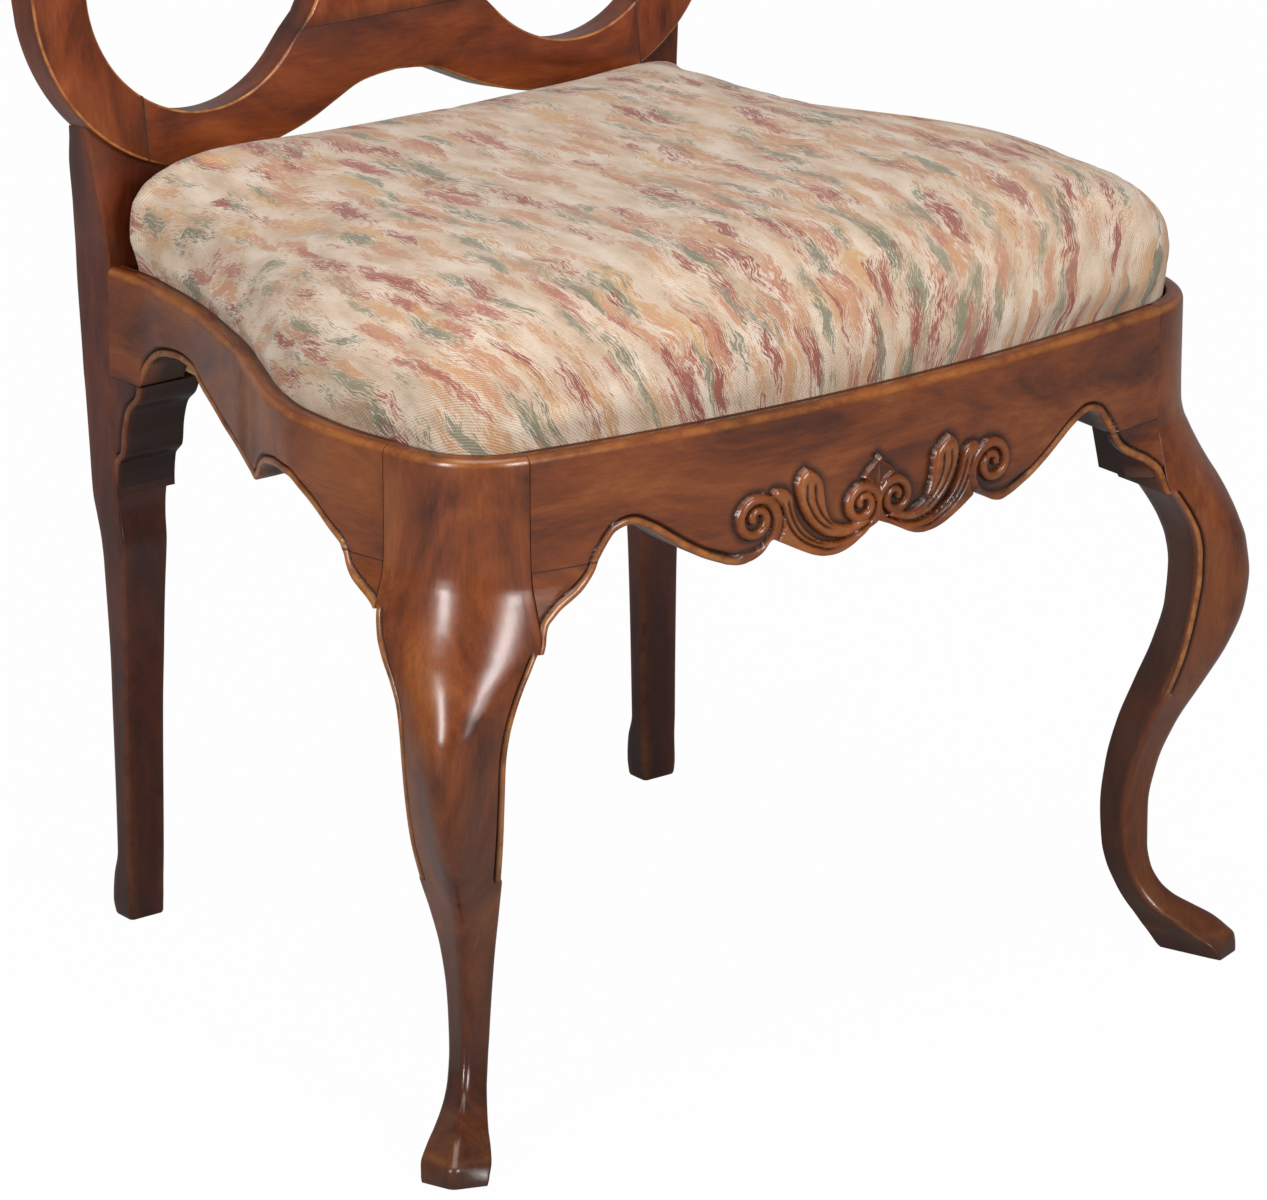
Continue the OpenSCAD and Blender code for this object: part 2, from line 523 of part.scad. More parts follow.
// The back lies in a raked plane: x to the side, y up the slope, z from its face to the rear
module on_back() translate([0, ring_y, ring_height]) rotate([90 - rake_angle, 0, 0])
    mirror([0, 0, 1]) children();
back_half_width = post_outer + back_overhang;
ring_centre = [back_half_width - ring_radius, ring_radius];
opening_centre = ring_centre + [-0.009 * ring_radius, 0.018 * ring_radius];
// Arch under the lower rail, from the middle out: shares of the ring's radius
arch_shares = [[0, 0.351], [0.11, 0.342], [0.214, 0.315], [0.357, 0.27], [0.4375, 0.225],
    [0.518, 0.185]];
arch = [for (s = arch_shares) s * ring_radius];
ring_start = acos((arch[5][0] + 0.07 * ring_radius - ring_centre[0]) / ring_radius);
// Upper outline, from the widest place to the crest: shares of the half width and of the rise
// above the ring's centre
hoop_shares = [[1, 0], [1.003, 0.1], [0.98, 0.32], [0.931, 0.515], [0.874, 0.65], [0.776, 0.77],
    [0.612, 0.88], [0.388, 0.956], [0.184, 0.99], [0, 1]];
hoop_rise = back_rise - ring_radius;
hoop = smooth([for (s = hoop_shares) [s[0] * back_half_width, ring_radius + s[1] * hoop_rise]], 3);
half_outline = concat([for (i = [0:len(arch) - 1]) arch[i]],
    arc(ring_centre, ring_radius, -ring_start, -8, 14), hoop);
back_outline = concat(half_outline, mirrored([for (i = [1:len(half_outline) - 2])
    half_outline[i]]));
// Opening beside the splat, from the end of its round bottom up the stile and down the splat
opening_shares = [[0.849, 0.003], [0.855, 0.1], [0.841, 0.275], [0.804, 0.451], [0.763, 0.584],
    [0.714, 0.69], [0.633, 0.788], [0.51, 0.852], [0.388, 0.869], [0.278, 0.854], [0.204, 0.81],
    [0.163, 0.749], [0.155, 0.688], [0.196, 0.614], [0.269, 0.527], [0.298, 0.438],
    [0.282, 0.353], [0.224, 0.244], [0.167, 0.144], [0.147, 0.057], [0.167, -0.007],
    [0.231, -0.065]];
opening_from_angle = -137;
opening_to_angle = -6;
opening_outline = concat(arc(opening_centre, opening_radius, opening_from_angle, opening_to_angle, 14),
    smooth([for (s = opening_shares) [s[0] * back_half_width, ring_radius + s[1] * hoop_rise]], 2));
ring_joint_x = post_outer - 0.6585 * post_width;
splat_joint = 0.657 * ring_radius;
crest_joint = 0.79 * back_rise;
splat_top = 0.862 * back_rise;
module back_plate() difference() {
    polygon(back_outline);
    polygon(opening_outline);
    mirror([1, 0, 0]) polygon(opening_outline);
}
module back_piece() on_back() linear_extrude(height = back_thickness) intersection() {
    back_plate();
    children();
}
module back_lower_rail() {
    color(wood_back) placed() difference() {
        back_piece() translate([-ring_joint_x, 0]) square([2 * ring_joint_x, splat_joint]);
        tongue(splat_joint - tongue_length, splat_joint, tenon_clearance);
        ring_dowel(dowel_clearance);
        post_dowels(dowel_clearance);
        left_side() ring_dowel(dowel_clearance);
        left_side() post_dowels(dowel_clearance);
    }
}
module splat() {
    color(wood_back) placed() {
        back_piece() translate([-ring_radius, splat_joint])
            square([2 * ring_radius, splat_top - splat_joint]);
        tongue(splat_joint - tongue_length, splat_joint + overrun);
        tongue(splat_top - overrun, splat_top + tongue_length);
    }
}
module crest_rail() {
    color(wood_back) placed() difference() {
        back_piece() polygon([[-back_half_width, crest_joint], [-ring_radius, crest_joint],
            [-ring_radius, splat_top], [ring_radius, splat_top], [ring_radius, crest_joint],
            [back_half_width, crest_joint], [back_half_width, back_rise + ring_radius],
            [-back_half_width, back_rise + ring_radius]]);
        tongue(splat_top - overrun, splat_top + tongue_length, tenon_clearance);
        crest_dowel(dowel_clearance);
        left_side() crest_dowel(dowel_clearance);
    }
}
module back_stile() difference() {
    back_piece() polygon([[ring_joint_x, 0], [ring_joint_x, opening_radius],
        [opening_radius, ring_radius + opening_radius], [opening_radius, crest_joint],
        [back_half_width + ring_radius, crest_joint], [back_half_width + ring_radius, 0]]);
    ring_dowel(dowel_clearance);
    crest_dowel(dowel_clearance);
    post_dowels(dowel_clearance);
}
module back_stile_right() color(wood_back) placed() back_stile();
module back_stile_left() color(wood_back) placed() left_side() back_stile();

// Tongue of the splat, from one height up the slope to another
tongue_half_share = 0.45;
tongue_half = tongue_half_share * opening_radius;
module tongue(low, high, grow = 0) on_back() block(
    [-tongue_half - grow, low - grow, (back_thickness - tongue_thickness) / 2 - grow],
    [tongue_half + grow, high + grow, (back_thickness + tongue_thickness) / 2 + grow]);
// Dowels of the back. They are shared by the pieces that they join.
ring_dowel_up = 0.277 * ring_radius;
crest_dowel_x = 0.743 * back_half_width;
post_dowel_place_shares = [0.79, 0.075];
function ring_edge(x) = ring_radius - sqrt(pow(ring_radius, 2) - pow(x - ring_centre[0], 2));
module ring_dowel(grow = 0) on_back()
    translate([ring_joint_x - dowel_length / 2 - grow, ring_dowel_up, back_thickness / 2])
        rotate([0, 90, 0]) cylinder(r = dowel_r + grow, h = dowel_length + 2 * grow);
module crest_dowel(grow = 0) on_back()
    translate([crest_dowel_x, crest_joint + dowel_length / 2 + grow, back_thickness / 2])
        rotate([90, 0, 0]) cylinder(r = dowel_r + grow, h = dowel_length + 2 * grow);
module post_dowels(grow = 0) on_back() for (s = post_dowel_place_shares)
    let (x = post_outer - s * post_width)
    translate([x, ring_edge(x) + dowel_length / 2 + grow, back_thickness / 2 + ring_proud / 3])
        rotate([90, 0, 0]) cylinder(r = dowel_r + grow, h = dowel_length + 2 * grow);
module half_dowels() {
    ring_dowel();
    crest_dowel();
    post_dowels();
}
module back_dowels() {
    color(raw_wood) placed() {
        half_dowels();
        left_side() half_dowels();
    }
}

// Corner blocks inside the rails
block_top = ledge_height - rabbet_depth * 0.25;
block_reach = leg_block_width * 0.8;
function front_inner(x) = [x, front_y(x) + rail_thickness + glue_gap];
front_block_outline = [front_inner(front_joint_x - block_reach),
    front_inner(front_joint_x - glue_gap), [front_joint_x - glue_gap, side_joint_y + glue_gap],
    side_inner(side_joint_y + glue_gap), side_inner(side_joint_y + block_reach)];
front_screw_x = front_joint_x - block_reach * 0.4;
side_screw_y = side_joint_y + block_reach * 0.35;
front_screw_z = block_top - block_height * 0.35;
side_screw_z = block_top - block_height * 0.65;
head_height = screw_head_r - screw_r;
// How far behind the rails' outer face the screws' tips stay
screw_tip_depth = rail_thickness * 0.45;
front_screw_start = front_y(front_screw_x) + screw_tip_depth + screw_length;
side_screw_start = side_x(side_screw_y) - screw_tip_depth - screw_length;
// Screw with a countersunk head, its tip along +Z
module screw(grow = 0) {
    cylinder(r = screw_r + grow, h = screw_length);
    rotate_extrude() polygon([[0, -overrun * grow], [screw_head_r + grow, -overrun * grow],
        [screw_r + grow, head_height + grow], [0, head_height + grow]]);
}
module front_block_screws(grow = 0) {
    translate([front_screw_x, front_screw_start, front_screw_z]) rotate([90, 0, 0]) screw(grow);
    translate([side_screw_start, side_screw_y, side_screw_z]) rotate([0, 90, 0]) screw(grow);
}
module front_corner_block() difference() {
    translate([0, 0, block_top - block_height]) linear_extrude(height = block_height)
        polygon(front_block_outline);
    front_block_screws(screw_clearance);
    screw_way();
}
// The screws' heads are sunk in the blocks, down holes as wide as the heads
module screw_way() {
    translate([front_screw_x, front_screw_start, front_screw_z]) rotate([-90, 0, 0])
        cylinder(r = screw_head_r + screw_clearance, h = leg_block_depth);
    translate([side_screw_start, side_screw_y, side_screw_z]) rotate([0, -90, 0])
        cylinder(r = screw_head_r + screw_clearance, h = leg_block_width);
}
module front_corner_block_right() color(raw_wood) placed() front_corner_block();
module front_corner_block_left() color(raw_wood) placed() left_side() front_corner_block();

rear_block_top = ledge_height - batten_height - glue_gap;
rear_block_height = block_height * 0.76;
rear_block_corner = side_inner(rear_rail_front - glue_gap);
rear_block_steps = 6;
rear_block_side = [for (i = [rear_block_steps:-1:1])
    side_inner(rear_block_corner[1] - block_reach * i / rear_block_steps)];
rear_screw_x = rail_inner_x - block_reach * 0.45;
rear_side_screw_y = rear_rail_front - block_reach * 0.45;
rear_screw_z = rear_block_top - rear_block_height * 0.3;
rear_side_screw_z = rear_block_top - rear_block_height * 0.7;
rear_screw_start = rear_rail_front + rear_rail_thickness * 0.6 - screw_length;
rear_side_screw_start = side_x(rear_side_screw_y) - screw_tip_depth - screw_length;
module rear_block_screws(grow = 0) {
    translate([rear_screw_x, rear_screw_start, rear_screw_z]) rotate([-90, 0, 0]) screw(grow);
    translate([rear_side_screw_start, rear_side_screw_y, rear_side_screw_z])
        rotate([0, 90, 0]) screw(grow);
}
module rear_corner_block() difference() {
    translate([0, 0, rear_block_top - rear_block_height]) linear_extrude(height = rear_block_height)
        polygon(concat([rear_block_corner, rear_block_corner - [block_reach, 0]], rear_block_side));
    rear_block_screws(screw_clearance);
    translate([rear_screw_x, rear_screw_start, rear_screw_z]) rotate([90, 0, 0])
        cylinder(r = screw_head_r + screw_clearance, h = leg_block_depth);
    translate([rear_side_screw_start, rear_side_screw_y, rear_side_screw_z])
        rotate([0, -90, 0]) cylinder(r = screw_head_r + screw_clearance, h = leg_block_depth);
}
module rear_corner_block_right() color(raw_wood) placed() rear_corner_block();
module rear_corner_block_left() color(raw_wood) placed() left_side() rear_corner_block();
module corner_block_screws() {
    color(steel) placed() {
        front_block_screws();
        rear_block_screws();
        left_side() front_block_screws();
        left_side() rear_block_screws();
    }
}

// Drop-in seat, from below upward
seat_edge = lip_width + seat_gap;
cover_bottom = ledge_height + rest_gap;
frame_bottom = cover_bottom + cover_thickness;
frame_top = frame_bottom + frame_thickness;
frame_edge = seat_edge + cover_thickness;
frame_rear = seat_rear_y - cover_thickness;
frame_inner_x = side_x(seat_rear_y) - frame_edge - frame_width;
front_frame_back = max(side_joint_y, front_bow + frame_edge + frame_width);
rear_frame_front = frame_rear - frame_width;
module seat_frame_plan() polygon(seat_plan(frame_edge, frame_rear));
module frame_piece() translate([0, 0, frame_bottom]) linear_extrude(height = frame_thickness)
    intersection() {
        seat_frame_plan();
        children();
    }
module seat_frame_front() color(raw_wood) placed() difference() {
    frame_piece() translate([-half_width, 0]) square([seat_width, front_frame_back]);
    seat_dowels(dowel_clearance);
}
module seat_frame_rear() color(raw_wood) placed() difference() {
    frame_piece() translate([-half_width, rear_frame_front]) square([seat_width, frame_width * 2]);
    seat_dowels(dowel_clearance);
}
// A side rail of the seat's frame follows the chair's side between the frame's cross rails
side_frame_points = flip(side_inset(frame_edge, frame_rear));
function side_frame_place(y) = [lookup(y, [for (p = side_frame_points) [p[1], p[0]]]), y];
side_frame_curve = concat([side_frame_place(front_frame_back)],
    [for (p = side_frame_points) if (p[1] > front_frame_back && p[1] < rear_frame_front) p],
    [side_frame_place(rear_frame_front)]);
module seat_frame_side() difference() {
    translate([0, 0, frame_bottom]) linear_extrude(height = frame_thickness)
        polygon(concat(side_frame_curve, [for (p = flip(side_frame_curve)) p - [frame_width, 0]]));
    seat_dowels(dowel_clearance);
}
module seat_frame_right() color(raw_wood) placed() seat_frame_side();
module seat_frame_left() color(raw_wood) placed() left_side() seat_frame_side();
dowel_spread = frame_width * 0.22;
module seat_dowel_pair(x, y, grow) for (side = [-1, 1])
    translate([x + side * dowel_spread, y - dowel_length / 2 - grow, frame_bottom
        + frame_thickness / 2]) rotate([-90, 0, 0])
        cylinder(r = seat_dowel_r + grow, h = dowel_length + 2 * grow);
module seat_dowels(grow = 0) for (side = [-1, 1]) {
    seat_dowel_pair(side * (side_x(front_frame_back) - frame_edge - frame_width / 2),
        front_frame_back, grow);
    seat_dowel_pair(side * (side_x(rear_frame_front) - frame_edge - frame_width / 2),
        rear_frame_front, grow);
}
module seat_frame_dowels() color(raw_wood) placed() seat_dowels();

web_inset = frame_edge + cover_margin / 2;
strap_places_share = [-0.72, -0.24, 0.24, 0.72];
module webbing(z) translate([0, 0, z]) linear_extrude(height = web_thickness) intersection() {
    polygon(seat_plan(web_inset, frame_rear - cover_margin / 2));
    children();
}
module webbing_front_to_back() color(web_color) placed() webbing(frame_top)
    for (s = strap_places_share) translate([s * (frame_inner_x + web_width / 2) - web_width / 2, 0])
        square([web_width, seat_depth]);
module webbing_side_to_side() color(web_color) placed() webbing(frame_top + web_thickness)
    for (s = strap_places_share)
        translate([-half_width, mix(front_frame_back, rear_frame_front, (s + 1) / 2) - web_width / 2])
            square([seat_width, web_width]);

// Form of the cushion: shares of the way in to its middle, and of its height
cushion_shares = [[0, 0], [0, 0.14], [-0.008, 0.22], [-0.016, 0.34], [-0.012, 0.48], [0.02, 0.65],
    [0.09, 0.775], [0.22, 0.875], [0.42, 0.95], [0.7, 0.99]];
cushion_top = seat_rail_height + crown_height;
seat_middle = [0, seat_depth * 0.5];
// The rear edge stays upright under the back, so its bulge is held back to the frame's edge
function cushion_ring(edge, rear, share, z) = [for (p = seat_plan(edge, rear)) let (
    q = mix(p, seat_middle, share)) [q[0], min(q[1], rear), z]];
function cushion_rings(edge, rear, top, from_share) = [for (s = cushion_shares)
    if (s[1] >= from_share) cushion_ring(edge, rear, s[0], mix(cover_bottom, top, s[1]))];
pad_edge = frame_edge + pad_gap;
pad_bottom = frame_top + 2 * web_thickness;
pad_from_share = 0.3;
cover_from_share = 0.1;
module seat_pad() {
    rear = frame_rear - pad_gap;
    color(pad_color) placed() loft(concat([cushion_ring(pad_edge, rear, 0, pad_bottom)],
        cushion_rings(pad_edge, rear, cushion_top - cover_thickness - pad_gap, pad_from_share)));
}
// The cover is one skin: down its inside, round its turned margin and up its outside
module seat_cover() {
    inside = cushion_rings(frame_edge, frame_rear, cushion_top - cover_thickness,
        cover_from_share);
    outside = cushion_rings(seat_edge, seat_rear_y, cushion_top, 0);
    margin_edge = seat_edge + cover_margin;
    margin_rear = seat_rear_y - cover_margin;
    color(cloth) placed() loft(concat(flip(inside),
        [cushion_ring(frame_edge, frame_rear, 0, frame_bottom),
            cushion_ring(margin_edge, margin_rear, 0, frame_bottom),
            cushion_ring(margin_edge, margin_rear, 0, cover_bottom)], outside));
}
module dust_cover() color(dust_color) placed() translate([0, 0, frame_bottom - dust_thickness])
    linear_extrude(height = dust_thickness)
        polygon(seat_plan(seat_edge + cover_margin + seat_gap, seat_rear_y - cover_margin - seat_gap));

// Tacks through the cover's margin, where it is clear of the ledge
tack_inset = rail_thickness + tack_head_r + rest_gap;
tack_head_height = tack_head_r * 0.3;
tack_point_r = tack_head_r * 0.3;
tack_step_shares = [0.15, 0.4, 0.65, 0.9];
module tack(p) translate([p[0], p[1], cover_bottom]) {
    translate([0, 0, -tack_head_height]) cylinder(r = tack_head_r, h = tack_head_height);
    cylinder(r = tack_point_r, h = tack_length);
}
module half_tacks() for (s = tack_step_shares) {
    tack([s * (front_joint_x - cover_margin), front_y(s * (front_joint_x - cover_margin))
        + tack_inset]);
    tack([side_x(mix(side_joint_y + cover_margin, rear_frame_front, s)) - tack_inset,
        mix(side_joint_y + cover_margin, rear_frame_front, s)]);
    tack([s * (frame_inner_x - cover_margin), seat_rear_y - cover_margin + tack_head_r + rest_gap]);
}
module cover_tacks() {
    color(steel) placed() {
        half_tacks();
        left_side() half_tacks();
    }
}

front_leg_left();
front_leg_right();
rear_post_left();
rear_post_right();
front_rail();
side_rail_left();
side_rail_right();
rear_rail();
rear_batten();
front_knee_bracket_left();
front_knee_bracket_right();
side_knee_bracket_left();
side_knee_bracket_right();
rear_bracket_left();
rear_bracket_right();
back_stile_left();
back_stile_right();
back_lower_rail();
splat();
crest_rail();
back_dowels();
front_corner_block_left();
front_corner_block_right();
rear_corner_block_left();
rear_corner_block_right();
corner_block_screws();
seat_frame_front();
seat_frame_rear();
seat_frame_left();
seat_frame_right();
seat_frame_dowels();
webbing_front_to_back();
webbing_side_to_side();
seat_pad();
seat_cover();
dust_cover();
cover_tacks();
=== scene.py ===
# Balloon back side chair with cabriole front legs and a drop-in tapestry seat.
# Sizes are in millimetres, y = 0 is the front rail's face, and make_piece sets them into the frame.
import math

import bmesh
import bpy
import numpy as np
from mathutils import Euler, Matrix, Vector


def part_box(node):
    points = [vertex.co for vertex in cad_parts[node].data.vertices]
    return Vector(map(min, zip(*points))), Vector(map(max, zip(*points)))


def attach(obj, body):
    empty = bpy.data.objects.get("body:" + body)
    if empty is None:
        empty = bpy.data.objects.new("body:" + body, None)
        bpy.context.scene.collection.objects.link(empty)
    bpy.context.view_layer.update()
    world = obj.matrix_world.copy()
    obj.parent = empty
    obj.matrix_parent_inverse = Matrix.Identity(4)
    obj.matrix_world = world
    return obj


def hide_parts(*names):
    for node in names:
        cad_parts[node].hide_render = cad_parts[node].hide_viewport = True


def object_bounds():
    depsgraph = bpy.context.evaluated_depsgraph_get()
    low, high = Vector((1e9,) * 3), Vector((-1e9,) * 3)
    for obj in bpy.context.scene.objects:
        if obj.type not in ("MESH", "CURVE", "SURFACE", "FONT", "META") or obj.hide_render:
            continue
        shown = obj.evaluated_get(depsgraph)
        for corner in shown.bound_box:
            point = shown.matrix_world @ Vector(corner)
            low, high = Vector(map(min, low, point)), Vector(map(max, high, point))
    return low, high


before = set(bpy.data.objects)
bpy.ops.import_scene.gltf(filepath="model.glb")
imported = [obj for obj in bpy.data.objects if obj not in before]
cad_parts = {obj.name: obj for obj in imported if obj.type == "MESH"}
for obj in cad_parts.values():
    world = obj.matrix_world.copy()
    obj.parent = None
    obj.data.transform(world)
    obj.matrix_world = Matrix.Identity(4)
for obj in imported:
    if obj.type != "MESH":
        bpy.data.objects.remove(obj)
cad_low, cad_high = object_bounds()

MM = 0.001
# Places taken from the frame. The solids' carving stands proud of the front rail's face.
CAD_RELIEF = 3.0
RAIL_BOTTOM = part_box("rear_rail")[0].z / MM
RAIL_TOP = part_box("rear_rail")[1].z / MM
CREST_TOP = cad_high.z / MM
MIDDLE_Y = -CAD_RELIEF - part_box("front_rail")[0].y / MM

# Sizes of the rails, the bead and groove along their lower edge and the lip round the seat
RAIL_THICKNESS = 30.0
LIP_WIDTH = 10.0
RABBET_DEPTH = 12.0
EDGE_ROUND = 5.0
FINE_ROUND = 0.7
BEAD = 4.8
GROOVE = 2.0
BEAD_BACK = 2.2
FRONT_BOW = 20.3
FRONT_JOINT_X = 220.7
SIDE_JOINT_Y = 84.5
POST_Y = 444.5
LEDGE = RAIL_TOP - RABBET_DEPTH
# Depth of the brackets, how far the back's face stands before the posts' and its gap to the seat
BRACKET_DEPTH = 42
REAR_BRACKET_DEPTH = 41
RING_PROUD = 5.7
BACK_GAP = 1.8
# Greatest slopes of an edge that the bead's rows are spread for
RAIL_STEEPEST = 1.7
STEEPEST = 1.8
# Half the width of the carving on the front rail, and where the bead begins beyond its middle
CARVED_TO = 116
FRONT_BEAD_FROM = (90, 98)
# Where the rails' faces begin to swell towards the knees
FRONT_SWELL = (130, 182)
SIDE_SWELL_END = 165
SIDE_SWELL_LENGTH = 50
# Where the side rails' bead ends at the rear, and the front legs' beads at the top
SIDE_BEAD_END = 416
LEG_BEAD_TOP_FRONT = 294.5
LEG_BEAD_TOP_SIDE = 313
# Length over which a bead fades at its end
BEAD_FADE = 3
# How dark the glue lines and the flat of the lip are
JOINT_SHADE = 0.95
LIP_SHADE = 0.45
SHARP_ANGLE = math.radians(38)

# Plan of a side rail's face: y, x
SIDE_PLAN = [(84.5, 270.7), (107.5, 275.3), (129.5, 277.5), (158.5, 277), (191.5, 270), (234, 253),
             (273.5, 236), (311.5, 224), (354.5, 212), (389.5, 206.5), (414.5, 203.5), (444.5, 205)]
# Lower edge of the front rail: x, z
FRONT_EDGE = [(0, 325), (7, 322), (14, 318.5), (20, 315.3), (26, 313.2), (32, 312.4), (38, 312.8),
              (45, 314.7), (52, 317.8), (60, 322), (66, 325.5), (72, 328.5), (79, 322), (84, 319.2),
              (89, 317.7), (94, 317.3), (99, 318.2), (104, 320.2), (115, 325), (127, 332), (140, 341),
              (149, 347), (161, 352), (169, 350), (176, 342), (180.6, 335.6), (181.2, 335), (220.7, 335)]
# Lower edge of a side rail: y, z
SIDE_EDGE = [(84.5, 335), (114, 335), (117.5, 337.4), (126.5, 343), (140.5, 351.5), (154.5, 358),
             (165.5, 362), (178.5, 362), (195.5, 359), (209.5, 353), (218.5, 344), (226.5, 340),
             (234.5, 341), (262.5, 342), (291.5, 346), (313.5, 352), (333.5, 357), (349.5, 363),
             (363.5, 364), (380.5, 362), (394.5, 358), (406.5, 350), (413.5, 340), (416.5, 335),
             (444.5, 335)]


def curve(table, at, column=1):
    """Smooth line through a table's points, with no overshoot between them."""
    keys = np.array([row[0] for row in table], float)
    values = np.array([row[column] for row in table], float)
    at = np.clip(np.asarray(at, float), keys[0], keys[-1])
    step = np.diff(keys)
    slope = np.diff(values) / step
    tangent = np.zeros_like(values)
    tangent[0], tangent[-1] = slope[0], slope[-1]
    same_way = slope[:-1] * slope[1:] > 0
    low, high = np.where(same_way, slope[:-1], 1), np.where(same_way, slope[1:], 1)
    before, after = 2 * step[1:] + step[:-1], step[1:] + 2 * step[:-1]
    tangent[1:-1] = np.where(same_way, (before + after) / (before / low + after / high), 0)
    k = np.clip(np.searchsorted(keys, at, side="right") - 1, 0, len(step) - 1)
    h = step[k]
    t = (at - keys[k]) / h
    return ((2 * t ** 3 - 3 * t ** 2 + 1) * values[k] + (t ** 3 - 2 * t ** 2 + t) * h * tangent[k]
            + (3 * t ** 2 - 2 * t ** 3) * values[k + 1] + (t ** 3 - t ** 2) * h * tangent[k + 1])


def smooth_step(value, low, high):
    t = np.clip((np.asarray(value, float) - low) / (high - low), 0, 1)
    return t * t * (3 - 2 * t)


def bump(value, width):
    return np.exp(-(np.asarray(value, float) / width) ** 2)


def side_x(y):
    return curve(SIDE_PLAN, y)


def front_y(x):
    return FRONT_BOW * (np.asarray(x, float) / FRONT_JOINT_X) ** 2


def distance_to(path, u, v):
    """Distance from each place (u, v) to a line of points, and the share along it of the nearest."""
    path = np.asarray(path, float)
    best = np.full(np.shape(u), np.inf)
    along = np.zeros(np.shape(u))
    for k in range(len(path) - 1):
        way = path[k + 1] - path[k]
        t = np.clip(((u - path[k][0]) * way[0] + (v - path[k][1]) * way[1]) / max(way @ way, 1e-9), 0, 1)
        gap = np.hypot(u - path[k][0] - t * way[0], v - path[k][1] - t * way[1])
        nearer = gap < best
        best = np.where(nearer, gap, best)
        along = np.where(nearer, (k + t) / (len(path) - 1), along)
    return best, along


def inside(outline, u, v):
    """Whether each place (u, v) lies inside a closed outline."""
    result = np.zeros(np.shape(u), bool)
    for (x0, y0), (x1, y1) in zip(outline, list(outline[1:]) + [outline[0]]):
        if y0 != y1:
            crosses = (y0 > v) != (y1 > v)
            result ^= crosses & (u < (x1 - x0) * (v - y0) / (y1 - y0) + x0)
    return result


def lengths_along(line):
    """Distance along a line at each of its points."""
    return np.concatenate([[0], np.cumsum(np.hypot(*np.diff(line, axis=0).T))])


def circle_points(centre, radius, angle):
    return np.column_stack([centre[0] + radius * np.cos(angle), centre[1] + radius * np.sin(angle)])


def rounded_path(points, steps=6):
    """The points with a smooth line through them."""
    points = np.asarray(points, float)
    length = lengths_along(points)
    at = np.linspace(0, length[-1], steps * (len(points) - 1) + 1)
    return np.column_stack([curve(np.column_stack([length, points[:, k]]), at) for k in (0, 1)])


# Materials
def colour(hexadecimal):
    """Linear colour of a written sRGB one."""
    parts = [int(hexadecimal[k:k + 2], 16) / 255 for k in (0, 2, 4)]
    return [c / 12.92 if c < 0.04045 else ((c + 0.055) / 1.055) ** 2.4 for c in parts] + [1]


class Tree:
    """A node tree under construction. Its sockets take a value, a written colour or a link."""

    def __init__(self, owner):
        owner.use_nodes = True
        self.nodes = owner.node_tree.nodes
        self.links = owner.node_tree.links

    def fill(self, socket, value):
        if isinstance(value, bpy.types.NodeSocket):
            self.links.new(value, socket)
        else:
            socket.default_value = colour(value) if isinstance(value, str) else value

    def add(self, kind, sockets=None):
        """A new node with its sockets filled."""
        node = self.nodes.new("ShaderNode" + kind)
        for key, value in (sockets or {}).items():
            self.fill(node.inputs[key], value)
        return node

    def place(self, scale, turn=(0, 0, 0), source=None, shift=(0, 0, 0)):
        """The piece's own coordinates in metres, or another source, turned and scaled."""
        if source is None:
            source = self.add("TexCoord").outputs["Object"]
        sockets = {"Vector": source, "Location": shift, "Rotation": turn, "Scale": scale}
        return self.add("Mapping", sockets).outputs["Vector"]

    def noise(self, place, detail=4.0, roughness=0.55, distortion=0.0, scale=1.0, output="Fac"):
        sockets = {"Vector": place, "Scale": scale, "Detail": detail, "Roughness": roughness,
                   "Distortion": distortion}
        return self.add("TexNoise", sockets).outputs[output]

    def wave(self, place, scale, distortion, way):
        node = self.add("TexWave", {"Vector": place, "Scale": scale, "Distortion": distortion})
        node.bands_direction = way
        return node

    def ramp(self, factor, stops, mode="LINEAR"):
        node = self.add("ValToRGB", {"Fac": factor})
        node.color_ramp.interpolation = mode
        elements = node.color_ramp.elements
        while len(elements) < len(stops):
            elements.new(0.5)
        for element, (position, value) in zip(elements, stops):
            element.position = position
            element.color = colour(value) if isinstance(value, str) else (value, value, value, 1)
        return node.outputs["Color"]

    def mix(self, factor, first, second, mode="MIX"):
        node = self.add("Mix")
        node.data_type = "RGBA"
        node.blend_type = mode
        for key, value in (("Factor", factor), (6, first), (7, second)):
            self.fill(node.inputs[key], value)
        return node.outputs[2]

    def maths(self, operation, *values, kind="Math"):
        node = self.add(kind)
        node.operation = operation
        for socket, value in zip(node.inputs, values):
            self.fill(socket, value)
        return node.outputs[0]

    def mark(self, name, output="Fac"):
        node = self.add("Attribute")
        node.attribute_name = name
        return node.outputs[output]


class Paint(Tree):
    """A material: the sockets of its shader and the nodes before them."""

    def __init__(self, name, roughness, coat=0.0, coat_roughness=0.1, specular=0.5, sheen=0.0):
        self.material = bpy.data.materials.new(name)
        super().__init__(self.material)
        self.shader = self.nodes["Principled BSDF"].inputs
        for key, value in (("Roughness", roughness), ("Coat Weight", coat), ("Sheen Weight", sheen),
                           ("Coat Roughness", coat_roughness), ("Specular IOR Level", specular)):
            self.fill(self.shader[key], value)

    def finish(self, base, height, strength, distance):
        """Links the colour and a fine relief, and gives the material."""
        self.fill(self.shader["Base Color"], base)
        relief = self.add("Bump", {"Height": height, "Strength": strength, "Distance": distance})
        self.fill(self.shader["Normal"], relief.outputs["Normal"])
        return self.material


GRAIN_WAYS = {"x": (0.12, 1, 1), "y": (1, 0.12, 1), "z": (1, 1, 0.12)}
